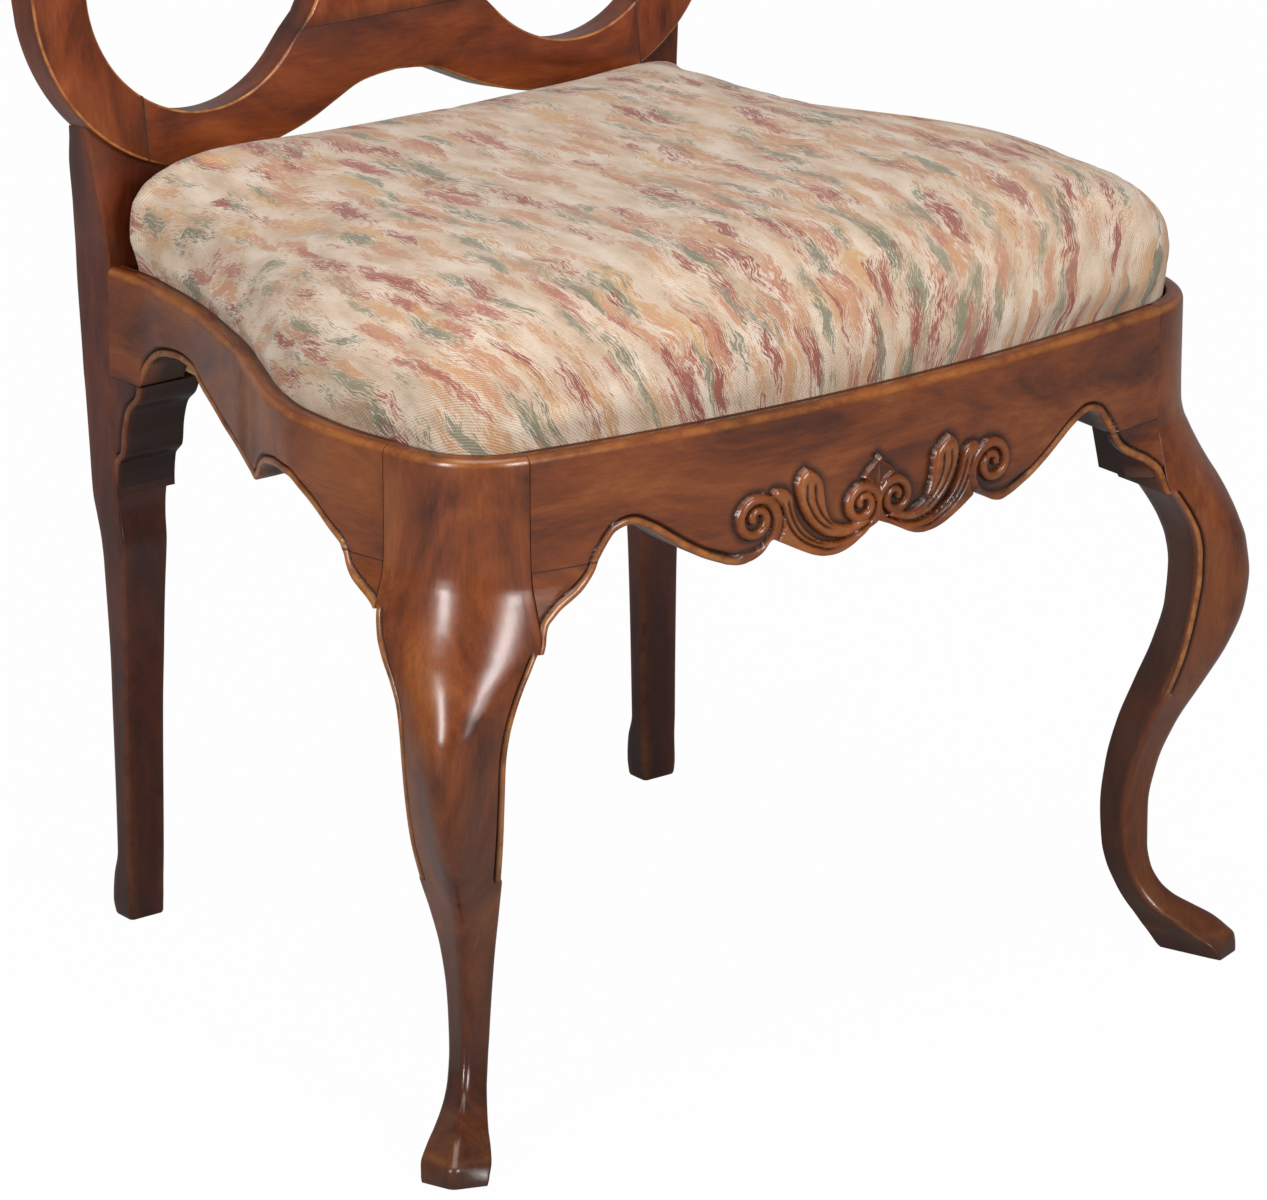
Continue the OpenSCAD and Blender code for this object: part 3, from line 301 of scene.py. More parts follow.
# Tones of the walnut: dark, middle, light and worn
FRONT_TONES = "431c09", "723714", "8a4c20", "b8783c"
BACK_TONES = "431a09", "703112", "87431b", "bb7a3e"
POST_TONES = "2e1108", "52200f", "652d15", "96592c"
# Dark tone of the shade mark: painted shade on hidden faces and in hollows, with grime and dark glue lines
GRIME_AND_SHADE = "1c0b04"
RAW_TONES = "8d6842", "c49d6e"
# The tapestry: its ground, and each layer's shift, scale, patch size and colours
GROUND_TONES = [(0.35, "baa086"), (0.5, "c9b19a"), (0.65, "d4c1ae")]
PATCH_LAYERS = [
    ((0.0, 0.0, 0.0), (88, 21, 1), 0.5,
     [(0.0, "a35f4f"), (0.25, "b3855c"), (0.42, "7c7961"), (0.6, "bd946c"), (0.78, "995345"),
      (0.9, "8a836b")]),
    ((3.7, 1.9, 0.0), (74, 17, 1), 0.46,
     [(0.0, "74715b"), (0.22, "b58264"), (0.45, "904c40"), (0.65, "c09767"), (0.82, "9d846b")]),
    ((7.1, 5.3, 0.0), (104, 24, 1), 0.46,
     [(0.0, "b78463"), (0.3, "8d483c"), (0.55, "7e7a66"), (0.75, "bd8f6a")])]


def walnut(name, way, dark, middle, light, worn, gloss=0.26):
    """Old polished walnut with mottled colour, worn arrises, grime and dark glue lines, and painted shade in
    hollows and on hidden faces.
    """
    paint = Paint(name, gloss, coat=0.3, coat_roughness=0.16, specular=0.35)
    stretch = np.array(GRAIN_WAYS[way])
    broad = paint.noise(paint.place(26 * stretch ** 0.5), detail=5, roughness=0.6, distortion=0.8)
    streak = paint.noise(paint.place(420 * stretch), detail=6, roughness=0.65)
    pore = paint.noise(paint.place(1500 * stretch), detail=2)
    knock = paint.noise(paint.place((150, 150, 110)), detail=3, roughness=0.7, distortion=1.6)
    knocks = paint.ramp(knock, [(0.235, 0.0), (0.27, 1.0)])
    above_floor = paint.add("SeparateXYZ", {"Vector": paint.add("TexCoord").outputs["Object"]}).outputs["Z"]
    base = paint.ramp(broad, [(0.3, dark), (0.5, middle), (0.68, light)])
    for share, darker in ((0.55, paint.ramp(streak, [(0.36, 0.62), (0.62, 1.0)])),
                          (0.35, paint.ramp(pore, [(0.33, 0.45), (0.4, 1.0)])),
                          (0.6, knocks),
                          (1.0, paint.ramp(above_floor, [(0.0, 0.42), (0.17, 0.72), (0.3, 1.0)]))):
        base = paint.mix(share, base, darker, "MULTIPLY")
    patch = paint.noise(paint.place((60, 60, 60)), detail=5, roughness=0.7)
    patches = paint.ramp(patch, [(0.38, 0.15), (0.6, 1.0)])
    base = paint.mix(paint.maths("MULTIPLY", paint.mark("wear"), patches), base, worn)
    # The shade mark darkens the wood towards the dark tone: painted shade, with grime and dark glue lines
    shade = paint.mark("shade")
    base = paint.mix(shade, base, GRIME_AND_SHADE)
    rough = paint.maths("ADD", paint.maths("MULTIPLY", broad, 0.16), gloss - 0.08)
    rough = paint.maths("ADD", rough, paint.maths("MULTIPLY", shade, 0.3))
    paint.fill(paint.shader["Roughness"], rough)
    relief = paint.maths("ADD", paint.maths("MULTIPLY", streak, 0.35), knocks)
    return paint.finish(base, relief, 0.22, 0.0006)


def raw_wood(name, way):
    """Unfinished secondary wood with open grain."""
    paint = Paint(name, 0.72, specular=0.3)
    stretch = np.array(GRAIN_WAYS[way])
    grain = paint.noise(paint.place(160 * stretch), detail=7, roughness=0.7, distortion=0.6)
    return paint.finish(paint.ramp(grain, list(zip((0.3, 0.7), RAW_TONES))), grain, 0.4, 0.0008)


def steel():
    """Old steel with darker patches."""
    paint = Paint("steel", 0.38)
    paint.fill(paint.shader["Metallic"], 1.0)
    patch = paint.noise(paint.place((700, 700, 700)), detail=4)
    return paint.finish(paint.ramp(patch, [(0.35, "4d4843"), (0.65, "a7a39c")]), patch, 0.2, 0.0002)


def jute_webbing():
    """Plain weave of coarse jute yarns."""
    paint = Paint("jute_webbing", 0.85, specular=0.2)
    across, along = [paint.wave(paint.place((1, 1, 1)), scale, 1.2, way).outputs["Fac"]
                     for scale, way in ((160, "X"), (130, "Y"))]
    weave = paint.maths("MULTIPLY", across, along)
    return paint.finish(paint.ramp(weave, [(0.0, "7d6542"), (0.8, "c2a878")]), weave, 0.5, 0.0006)


def lining_cloth():
    """Dark, thin, plain woven lining."""
    paint = Paint("lining_cloth", 0.9, specular=0.2, sheen=0.2)
    yarn, cross = [paint.noise(paint.place(scale), detail=3)
                   for scale in ((2200, 260, 400), (260, 2200, 400))]
    weave = paint.maths("MAXIMUM", yarn, cross)
    return paint.finish(paint.ramp(weave, [(0.4, "1d1b1a"), (0.75, "44403c")]), weave, 0.35, 0.0003)


def tapestry():
    """Cream twill with feathered, flame-like patches. It uses the cloth's own flat coordinates."""
    paint = Paint("tapestry", 0.88, specular=0.25, sheen=0.15)
    paint.fill(paint.shader["Sheen Roughness"], 0.6)
    flat = paint.mark("cloth", "Vector")
    # The patches waver, and their ends fray into single yarns
    sway = paint.noise(flat, detail=3, roughness=0.5, scale=16, output="Color")
    centred = paint.maths("SUBTRACT", sway, (0.5, 0.5, 0.5), kind="VectorMath")
    swayed = paint.maths("MULTIPLY_ADD", centred, (0.035, 0.03, 0), flat, kind="VectorMath")
    fray = paint.noise(paint.place((1100, 110, 1), (0, 0, 0.3), swayed), detail=3, roughness=0.7)
    frayed = paint.maths("MULTIPLY", paint.maths("SUBTRACT", fray, 0.5), 2.4)
    cover = paint.ramp(paint.noise(paint.place((60, 26, 1), source=flat), detail=3), GROUND_TONES)
    for shift, scale, size, palette in PATCH_LAYERS:
        place = paint.place(scale, (0, 0, 0.28), swayed, shift)
        cells = paint.add("TexVoronoi", {"Vector": place, "Scale": 1.0, "Randomness": 0.85}).outputs
        chance = paint.add("SeparateColor", {"Color": cells["Color"]}).outputs
        edge = paint.maths("ADD", cells["Distance"], frayed)
        patch = paint.ramp(edge, [(size - 0.09, 1.0), (size + 0.04, 0.0)])
        shown = paint.ramp(chance["Green"], [(0.42, 0.0), (0.44, 0.92)])
        tint = paint.ramp(chance["Red"], palette, "CONSTANT")
        cover = paint.mix(paint.maths("MULTIPLY", patch, shown), cover, tint)
    # Twill: raised diagonal ribs crossed by the yarns
    ribs = paint.wave(flat, 290, 2.2, "DIAGONAL")
    paint.fill(ribs.inputs["Detail"], 2)
    paint.fill(ribs.inputs["Detail Scale"], 2.5)
    yarn = paint.noise(paint.place((1300, 700, 1), source=flat), detail=3)
    weave = paint.maths("ADD", paint.maths("MULTIPLY", ribs.outputs["Fac"], 0.6),
                        paint.maths("MULTIPLY", yarn, 0.6))
    cover = paint.mix(0.8, cover, paint.ramp(weave, [(0.25, 0.7), (0.85, 1.0)]), "MULTIPLY")
    return paint.finish(cover, weave, 0.5, 0.0007)


walnut_x, walnut_y, walnut_z = [walnut("walnut_" + way, way, *FRONT_TONES) for way in "xyz"]
amber_x, amber_z = [walnut("amber_" + way, way, *BACK_TONES) for way in "xz"]
dark_walnut_z = walnut("dark_walnut_z", "z", *POST_TONES)
dark_walnut_x = walnut("dark_walnut_x", "x", *POST_TONES, gloss=0.45)
plain_wood_x, plain_wood_y = [raw_wood("plain_wood_" + way, way) for way in "xy"]
steel_metal = steel()
webbing_cloth = jute_webbing()
lining = lining_cloth()
seat_cloth = tapestry()


# Meshes
def ring_faces(count, size):
    """Quads between rings of points, and a face over each end."""
    faces = [(k * size + i, k * size + (i + 1) % size, (k + 1) * size + (i + 1) % size, (k + 1) * size + i)
             for k in range(count - 1) for i in range(size)]
    return faces + [tuple(range(size)), tuple(range((count - 1) * size, count * size))]


def make_piece(name, rings, material, nodes, body="frame", marks=None):
    """Makes a mesh of rings in millimetres, sets it in the frame and lets it ride on its body."""
    rings = np.asarray(rings, float)
    mesh = bpy.data.meshes.new(name)
    placed = (rings.reshape(-1, 3) - (0, MIDDLE_Y, 0)) * MM
    mesh.from_pydata(placed.tolist(), [], ring_faces(*rings.shape[:2]))
    for key, values in (marks or {}).items():
        layer = mesh.attributes.new(key, "FLOAT", "POINT")
        layer.data.foreach_set("value", np.clip(np.asarray(values, np.float32), 0, 1).ravel())
    work = bmesh.new()
    work.from_mesh(mesh)
    bmesh.ops.recalc_face_normals(work, faces=work.faces)
    work.to_mesh(mesh)
    work.free()
    mesh.shade_smooth()
    mesh.set_sharp_from_angle(angle=SHARP_ANGLE)
    mesh.materials.append(material)
    piece = bpy.data.objects.new(name, mesh)
    bpy.context.scene.collection.objects.link(piece)
    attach(piece, body)
    if nodes:
        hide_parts(*nodes)
    return piece


def both_sides(name, rings, material, node, marks):
    """The right piece and its mirror image on the left."""
    for side, sign in (("right", 1), ("left", -1)):
        make_piece(f"{name}_{side}", np.asarray(rings, float) * (sign, 1, 1), material,
                   [f"{node}_{side}"], marks=marks)


def bead_depth(e):
    """How far the moulded edge lies behind the face, at a distance e from the edge."""
    u = np.clip((e - BEAD / 2) / (BEAD / 2), -1, 1)
    groove = BEAD_BACK * np.clip((BEAD + GROOVE - e) / GROOVE, 0, 1)
    return np.where(e < BEAD, BEAD_BACK * (1 - np.sqrt(1 - u * u)), groove)


def bead_shade(e):
    return 0.95 * bump(e - BEAD - 0.25 * GROOVE, 1.0)


def bead_wear(e):
    return np.where(e < BEAD, 0.55 * np.sqrt(np.clip(1 - ((e - BEAD / 2) / (BEAD / 2)) ** 2, 0, 1)), 0)


BEAD_ROWS = np.concatenate([BEAD * np.array([0, 0.05, 0.15, 0.3, 0.5, 0.7, 0.85, 0.95, 1.0]),
                            BEAD + GROOVE * np.array([0.3, 0.65, 1.0, 1.35])])

# Carving on the front rail, as (x, z) on one half
SMALL_LEAF = [(69.5, 357), (72.6, 355.3), (73.1, 350.7), (70.3, 344.8), (68.4, 338), (68.7, 332.4),
              (70.5, 327.4), (64.1, 321.4), (54.8, 315.8), (43.9, 312), (31, 310.6), (20.6, 312.5),
              (11.3, 317.5), (4, 325), (9, 325.5), (18, 321), (28, 319), (38, 321), (46.4, 326),
              (53.2, 333.6), (57.9, 342.4), (59.4, 350.7), (64.1, 355.7)]
LARGE_LEAF = [(50.1, 365), (55.5, 360.7), (57.1, 354.3), (55.5, 345.9), (50.1, 335.5), (42.3, 327.3),
              (34, 322.2), (24, 320.4), (14, 322.6), (6, 327), (12, 329), (20, 327), (28, 328.6),
              (33, 332.2), (36.9, 341), (38, 347.9), (39.2, 355.5), (43.9, 361.1)]
BUD_SIDE = [(0, 364), (1.8, 360.6), (4.8, 357.8), (8.8, 355), (11.6, 351.6), (9.6, 350), (5.6, 347.6),
            (2.8, 343), (1.2, 337), (0, 331)]
BUD = BUD_SIDE + [(-x, z) for x, z in BUD_SIDE[-2:0:-1]]
FLUTES = [[(67.6, 351), (65.2, 342), (59.6, 330.6), (48, 321), (32, 315.6), (20, 316.4)],
          [(63.6, 351), (61, 341), (55, 330), (44, 321.8), (31, 317.4)],
          [(50.6, 358), (51, 350), (47.4, 340), (40, 331), (29, 325)],
          [(45.4, 357), (45, 348), (41.6, 339), (35.6, 331.6), (27, 326.6)]]
OUTER_VOLUTE_CENTRE = (83.2, 341.6)
INNER_VOLUTE_CENTRE = (11.6, 336.9)


def spiral(centre, start, turn, radii, count=60):
    """Points of a spiral that winds in by a turn in degrees, from one radius to another."""
    share = np.linspace(0, 1, count)
    radius = curve([(k / (len(radii) - 1), r) for k, r in enumerate(radii)], share)
    return circle_points(centre, radius, np.radians(start + turn * share))


OUTER_SCROLL = np.vstack([[(109, 325.0), (101.5, 321.9), (94, 320.2)],
                          spiral(OUTER_VOLUTE_CENTRE, -84, -640, [20.8, 11.6, 9.6, 6.2, 2.2])])
INNER_SCROLL = np.vstack([[(36, 324.6), (27, 322.4), (18, 321.2)],
                          spiral(INNER_VOLUTE_CENTRE, -96, -626, [15.4, 9.8, 8.4, 5.6, 2.0])])
# Each scroll: its line, its radii and heights by shares along it, and whether it grows out of a leaf
SCROLLS = [
    (OUTER_SCROLL, ([0, 0.12, 0.35, 1], [2.4, 3.3, 3.0, 2.4]), ([0, 0.1, 0.3, 1], [0, 1.6, 2.9, 2.7]), False),
    (INNER_SCROLL, ([0, 0.1, 0.4, 1], [1.6, 3.0, 2.9, 2.3]), ([0, 0.12, 0.3, 1], [0, 2.4, 2.9, 2.7]), True)]
LEAF_ROUND = 3.6
FLUTE_DEPTH = 1.5
FLUTE_HALF_WIDTH = 0.75


def closed_form(outline, x, z):
    """Distance to a closed outline, and whether each place lies inside it."""
    outline = [tuple(point) for point in outline]
    return distance_to(outline + outline[:1], x, z)[0], inside(outline, x, z)


def carved_forms(x, z):
    """Each carved form in turn: its height, its signed gap, and whether it grows out of the last."""
    for outline, height in ((SMALL_LEAF, 3.0), (LARGE_LEAF, 3.5)):
        edge, within = closed_form(rounded_path(outline + outline[:1], 5)[:-1], x, z)
        dome = height * np.sqrt(1 - (1 - np.clip(edge / LEAF_ROUND, 0, 1)) ** 2)
        yield np.where(within, dome, 0), np.where(within, -edge, edge), False
    edge, within = closed_form(BUD, x, z)
    rim = 1.7 * bump(edge - 1.0, 0.9) + 1.2 * bump(x, 0.8) + 0.4 * np.clip(edge, 0, 1)
    yield np.where(within, rim, 0), np.where(within, -edge, edge), False
    for path, radii, heights, joins in SCROLLS:
        gap, along = distance_to(path, x, z)
        radius = np.interp(along, *radii)
        tube = np.interp(along, *heights) * np.sqrt(1 - np.clip(gap / radius, 0, 1) ** 2)
        yield tube, gap - radius, joins


def carve(x, z):
    """Height of the carving above the rail's face, and how dark its hollows are."""
    height = np.zeros(np.shape(x))
    nearest = np.full(np.shape(x), 50.0)
    for form, gap, joins in carved_forms(x, z):
        if not joins:
            height = height * np.clip(gap / 0.9, 0, 1) ** 0.5
        height = np.maximum(height, form)
        nearest = np.minimum(nearest, gap)
    in_leaf = smooth_step(-nearest, 0.4, 1.6)
    hollow = np.zeros(np.shape(x))
    for flute in FLUTES:
        gap, along = distance_to(rounded_path(flute), x, z)
        ends = smooth_step(along, 0, 0.1) * smooth_step(1 - along, 0, 0.25)
        hollow = np.maximum(hollow, bump(gap, FLUTE_HALF_WIDTH) * ends * in_leaf)
    low = np.clip(1 - height / 1.3, 0, 1)
    beside = np.where(nearest > 0, 0.9 * bump(np.maximum(nearest - 0.4, 0), 2.6), 0.9)
    shade = np.maximum(0.85 * hollow, low * beside)
    # The ground sinks a little beside the forms
    recess = 0.9 * bump(np.maximum(nearest, 0), 5.0) * (1 - smooth_step(-nearest, -0.2, 0.6))
    return height - FLUTE_DEPTH * hollow - recess, shade


def end_round(count):
    """Steps of a quarter round: shares of its radius inward and down."""
    angle = np.linspace(0, math.pi / 2, count)
    return 1 - np.cos(angle), 1 - np.sin(angle)


def edge_wear(inset):
    """Wear of the rails' rounded top edge, at a distance behind the face."""
    return 0.34 * bump(inset - EDGE_ROUND * 0.2, EDGE_ROUND * 0.3)


def rail_section(low, stretch, face_rows):
    """Depth behind the face and height of a rail's section, and how many rows its face has."""
    inward, down = end_round(7)
    fine_in, fine_down = end_round(3)
    bead_z = low + BEAD_ROWS * stretch
    top_start = RAIL_TOP - EDGE_ROUND
    face_z = bead_z[-1] + (top_start - bead_z[-1]) * np.linspace(0, 1, face_rows + 1)[1:]
    face = np.concatenate([bead_z, face_z])
    inside_depth = [LIP_WIDTH, (LIP_WIDTH + RAIL_THICKNESS) / 2, RAIL_THICKNESS, RAIL_THICKNESS,
                    RAIL_THICKNESS / 2, BEAD_BACK + 1]
    depth = np.concatenate([np.zeros(len(face)), EDGE_ROUND * inward[1:],
                            LIP_WIDTH - FINE_ROUND * (1 - fine_in), inside_depth])
    z = np.concatenate([face, RAIL_TOP - EDGE_ROUND * down[1:], RAIL_TOP - FINE_ROUND * (1 - fine_down[::-1]),
                        [LEDGE, LEDGE, LEDGE, low + 0.3, low, low]])
    return depth, z, len(face)


def bead_line(edge_table, contour):
    """The line that the bead follows: up a bracket's free edge and on along the rail's lower edge."""
    joint = contour[-1][1]
    first, last = edge_table[0][0], edge_table[-1][0]
    if joint - first < last - joint:
        along = np.arange(joint + 1, last, 0.8)
    else:
        along = np.arange(joint - 1, first, -0.8)
    up = rounded_path([(u, z) for z, u in contour], 5)
    return np.vstack([up, np.column_stack([along, curve(edge_table, along)])])


def knee_swell(z, corner):
    """How far the front or side face stands out at the leg's joint, at a height under the block."""
    d, t = [curve(WHOLE_LEG_ROWS, z, k) for k in ((3, 4) if corner == "front" else (7, 8))]
    if corner == "front":
        return FRONT_BOW - LEG_ORIGIN[1] - (t - d) / math.sqrt(2)
    return LEG_ORIGIN[0] + (d + t) / math.sqrt(2) - SIDE_PLAN[0][1]


def rail_piece(stations, edge_table, place, face_rows, bead_share, followed, swell, carving=False):
    """Rings of a rail through its stations, with its moulded edge, and the marks for its material."""
    low = curve(edge_table, np.abs(stations))
    stretch = np.sqrt(1 + np.clip(np.abs(np.gradient(low, stations)), 0, RAIL_STEEPEST) ** 2)
    sections = [rail_section(*row, face_rows) for row in zip(low, stretch)]
    depth = np.array([section[0] for section in sections])
    z = np.array([section[1] for section in sections])
    shade, wear = np.zeros(depth.shape), np.zeros(depth.shape)
    face = slice(sections[0][2])
    face_z = z[:, face]
    u = np.repeat(np.abs(stations)[:, None], face_z.shape[1], axis=1)
    e = distance_to(followed, u, face_z)[0]
    amount = bead_share(u)
    depth[:, face] += bead_depth(e) * amount - swell(u, np.maximum(face_z, RAIL_BOTTOM))
    shade[:, face] = bead_shade(e) * amount
    wear[:, face] = bead_wear(e) * amount
    glued = (np.abs(z - RAIL_BOTTOM) < 0.4) & (np.abs(low[:, None] - RAIL_BOTTOM) < 0.05)
    shade = np.where(glued, JOINT_SHADE, shade)
    if carving:
        height, hollow = carve(u, face_z)
        near = smooth_step(CARVED_TO - u, 0, 4)
        open_edge = np.clip(smooth_step(e, 1, BEAD + 1) + smooth_step(88 - u, 0, 8), 0, 1)
        height = np.where(height < 0, height * open_edge, height)
        depth[:, face] -= height * near
        shade[:, face] = np.maximum(shade[:, face], hollow * open_edge * near)
        wear[:, face] = np.maximum(wear[:, face], 0.35 * smooth_step(height, 2.4, 3.4) * near)
    top = (z > RAIL_TOP - EDGE_ROUND * 0.9) & (depth < EDGE_ROUND * 1.3)
    wear = np.where(top, edge_wear(depth), wear)
    shade = np.where((z > LEDGE + 1) & (depth > EDGE_ROUND), LIP_SHADE, shade)
    # Painted shade on the rail's rabbet face, ledge, inner face and underside
    shade = np.where((z < RAIL_TOP - FINE_ROUND) & (depth > LIP_WIDTH - 0.1), 0.8, shade)
    rings = [place(np.full(len(row), at), row, row_z) for at, row, row_z in zip(stations, depth, z)]
    return rings, {"shade": shade, "wear": wear}


def front_place(x, depth, z):
    return np.column_stack([x, front_y(x) + depth, z])


def side_place(y, depth, z):
    return np.column_stack([side_x(y) - depth, y, z])


def make_rails():
    fine_to = CARVED_TO + 2
    x = np.concatenate([np.arange(-FRONT_JOINT_X, -fine_to, 1.5), np.arange(-fine_to, fine_to, 0.75),
                        np.arange(fine_to, FRONT_JOINT_X, 1.5), [FRONT_JOINT_X]])
    rings, marks = rail_piece(
        x, FRONT_EDGE, front_place, 96, lambda u: smooth_step(u, *FRONT_BEAD_FROM),
        bead_line(FRONT_EDGE, FRONT_EAR),
        lambda u, z: knee_swell(z, "front") * smooth_step(u, *FRONT_SWELL), carving=True)
    make_piece("front_rail_carved", rings, walnut_x, ["front_rail"], marks=marks)
    y = np.append(np.arange(SIDE_JOINT_Y, POST_Y + 0.1, 1.6)[:-1], POST_Y)
    rings, marks = rail_piece(
        y, SIDE_EDGE, side_place, 26, lambda u: smooth_step(SIDE_BEAD_END - u, 0, BEAD_FADE),
        bead_line(SIDE_EDGE, SIDE_EAR),
        lambda u, z: knee_swell(z, "side") * smooth_step(SIDE_SWELL_END - u, 0, SIDE_SWELL_LENGTH))
    both_sides("side_rail_moulded", rings, walnut_y, "side_rail", marks)


# Front legs. The rows give z, then places on the leg's own diagonal: inner corner, outer corner, middle
# of the front and side corners and their half width, shift to the side, and two rounding shares.
LEG_ROWS = [
    (0, -25.6, 23.4, 14.6, 19.1, 0.2, 0.15, 0.12), (4.4, -28.5, 23.2, 12.6, 19.3, 0.2, 0.15, 0.12),
    (9.6, -32.0, 23.2, 8.0, 20.0, 0.3, 0.2, 0.15), (14.8, -35.5, 19.4, -1.6, 18.8, 0.4, 0.26, 0.25),
    (20.8, -39.3, 12.6, -11.0, 16.3, 0.4, 0.3, 0.3), (26.4, -43.0, 1.6, -21.9, 14.2, 0.5, 0.3, 0.34),
    (32.8, -46.9, -11.7, -29.3, 12.9, 0.5, 0.3, 0.4), (40.0, -50.5, -20.1, -34.3, 12.2, 0.5, 0.3, 0.43),
    (51.2, -55.2, -26.2, -39.5, 12.1, 0.5, 0.3, 0.45), (64.0, -58.2, -28.3, -42.4, 12.6, 0.5, 0.3, 0.45),
    (88.0, -59.6, -28.2, -43.9, 13.9, 0.5, 0.3, 0.42), (114.0, -57.2, -23.4, -40.4, 16.4, 0.6, 0.3, 0.36),
    (139.0, -51.5, -13.3, -31.8, 20.0, 0.8, 0.3, 0.28), (164.0, -42.2, 1.9, -21.4, 23.6, 1.4, 0.28, 0.14),
    (189.0, -32.2, 17.7, -13.0, 26.4, 1.9, 0.32, 0.06), (214.0, -25.6, 29.2, -7.9, 28.1, 2.0, 0.4, 0.05),
    (238.0, -24.2, 34.0, -4.9, 29.4, 1.9, 0.54, 0.05), (253.0, -26.4, 33.6, -4.7, 31.0, 1.3, 0.64, 0.05)]
# The knee and the block over it: z, each corner's place along the diagonal and to the side
# (inner, front, outer, side), and the two rounding shares
KNEE_ROWS = [
    (265, -30.9, 0.4, -6.2, -32.6, 30.8, 0.6, -7.4, 34.2, 0.72, 0.04),
    (277, -38.3, 1.2, -10.6, -36.4, 27.1, 1.1, -12.1, 38.4, 0.8, 0.04),
    (288, -47.0, 2.7, -16.2, -40.6, 22.8, 1.6, -18.9, 43.8, 0.86, 0.04),
    (297, -55.0, 4.6, -21.4, -43.2, 18.2, 2.0, -25.5, 47.2, 0.9, 0.04),
    (308, -63.5, 6.8, -24.1, -41.6, 11.6, 2.5, -31.8, 48.6, 0.94, 0.04),
    (319, -70.5, 8.3, -26.4, -39.3, 4.6, 3.0, -35.9, 47.2, 0.96, 0.04),
    (328, -73.8, 8.9, -28.1, -37.5, -0.8, 3.4, -38.0, 45.4, 0.97, 0.04),
    (337, -74.5, 9.0, -28.6, -36.9, -3.3, 3.6, -38.8, 44.6, 0.97, 0.04),
    (348, -74.5, 9.0, -29.0, -36.5, -3.6, 3.7, -39.0, 44.4, 0.97, 0.04),
    (362, -74.5, 9.0, -29.1, -36.4, -3.7, 3.7, -39.1, 44.3, 0.97, 0.04)]
LEG_ORIGIN = np.array([267.0, 25.5])
BLOCK_CORNER = np.array([267.0, 30.7])
BEAD_END_Z = 162.0
FOOT_TOP = 30
KNEE_FROM = 253
TUCK_HEIGHT = 4
OUTSIDE_STEPS = 26
INSIDE_STEPS = 14
INNER_ROUND = 0.12


def leg_place(d, t):
    """Place in plan of a point at d along the leg's diagonal and t to its side."""
    return LEG_ORIGIN + np.array([(d + t) / math.sqrt(2), (t - d) / math.sqrt(2)])


WHOLE_LEG_ROWS = [(z, inner, shift, middle, shift - half, outer, shift, middle, shift + half, *shares)
                  for z, inner, outer, middle, half, shift, *shares in LEG_ROWS] + KNEE_ROWS


def leg_corners(z):
    """Corners of the leg's section: inner, front, outer and side; and the shares rounded away."""
    row = [float(curve(WHOLE_LEG_ROWS, z, k)) for k in range(1, 11)]
    return np.array([leg_place(*row[k:k + 2]) for k in (0, 2, 4, 6)]), row[8], row[9]


def bezier(a, pull, b, count):
    """Points of a curve from a to b that bends towards a third point."""
    t = np.linspace(0, 1, count)[:, None]
    return (1 - t) ** 2 * a + 2 * t * (1 - t) * pull + t * t * b


def section_curve(corners, outer, side):
    """The outside of a leg's section, from its front corner to its side one, and the inside back."""
    shares = [INNER_ROUND / 2, side / 2, outer, side / 2]
    turns = []
    for k in (1, 2, 3, 0):
        before, here, after = corners[k - 1], corners[k], corners[(k + 1) % 4]
        turns.append(bezier(here + (before - here) * shares[k], here, here + (after - here) * shares[k], 17))
    front, apex, rear, inner = turns
    return np.vstack([front[8:], apex, rear[:9]]), np.vstack([rear[8:], inner, front[:9]])


def walk(line, at):
    """Points and outward normals at distances along a line."""
    line = line[np.concatenate([[True], np.hypot(*np.diff(line, axis=0).T) > 1e-6])]
    length = lengths_along(line)
    points, ahead, behind = [np.column_stack([np.interp(at + shift, length, line[:, k]) for k in (0, 1)])
                             for shift in (0, 0.4, -0.4)]
    way = ahead - behind
    way /= np.maximum(np.hypot(way[:, 0], way[:, 1]), 1e-9)[:, None]
    return points, np.column_stack([way[:, 1], -way[:, 0]])


def line_length(line):
    return np.hypot(*np.diff(line, axis=0).T).sum()


def leg_ring(corners, outer, side, z, bead_front, bead_side, stretch_side):
    """One ring of the leg: the outside with its two beads, then the inside."""
    outside_line, inside_line = section_curve(corners, outer, side)
    length = line_length(outside_line)
    fit = min(1.0, length * 0.42 / (BEAD_ROWS[-1] * max(stretch_side, 1)))
    from_front = BEAD_ROWS * fit
    from_side = from_front * stretch_side
    between = np.linspace(from_front[-1], length - from_side[-1], OUTSIDE_STEPS + 2)[1:-1]
    points, normals = walk(outside_line, np.concatenate([from_front, between, length - from_side[::-1]]))
    e = np.concatenate([BEAD_ROWS, np.full(OUTSIDE_STEPS, 50.0), BEAD_ROWS[::-1]])
    amount = np.repeat([bead_front, 0, bead_side], [len(BEAD_ROWS), OUTSIDE_STEPS, len(BEAD_ROWS)])
    points = points - normals * (bead_depth(e) * amount * fit)[:, None]
    inner_at = np.linspace(0, line_length(inside_line), INSIDE_STEPS + 2)[1:-1]
    ring = np.vstack([points, walk(inside_line, inner_at)[0]])
    # The leg's inside faces get painted shade
    return (np.column_stack([ring, np.full(len(ring), z)]),
            np.append(bead_shade(e) * amount, np.full(INSIDE_STEPS, 0.6)),
            np.append(bead_wear(e) * amount, np.zeros(INSIDE_STEPS)))


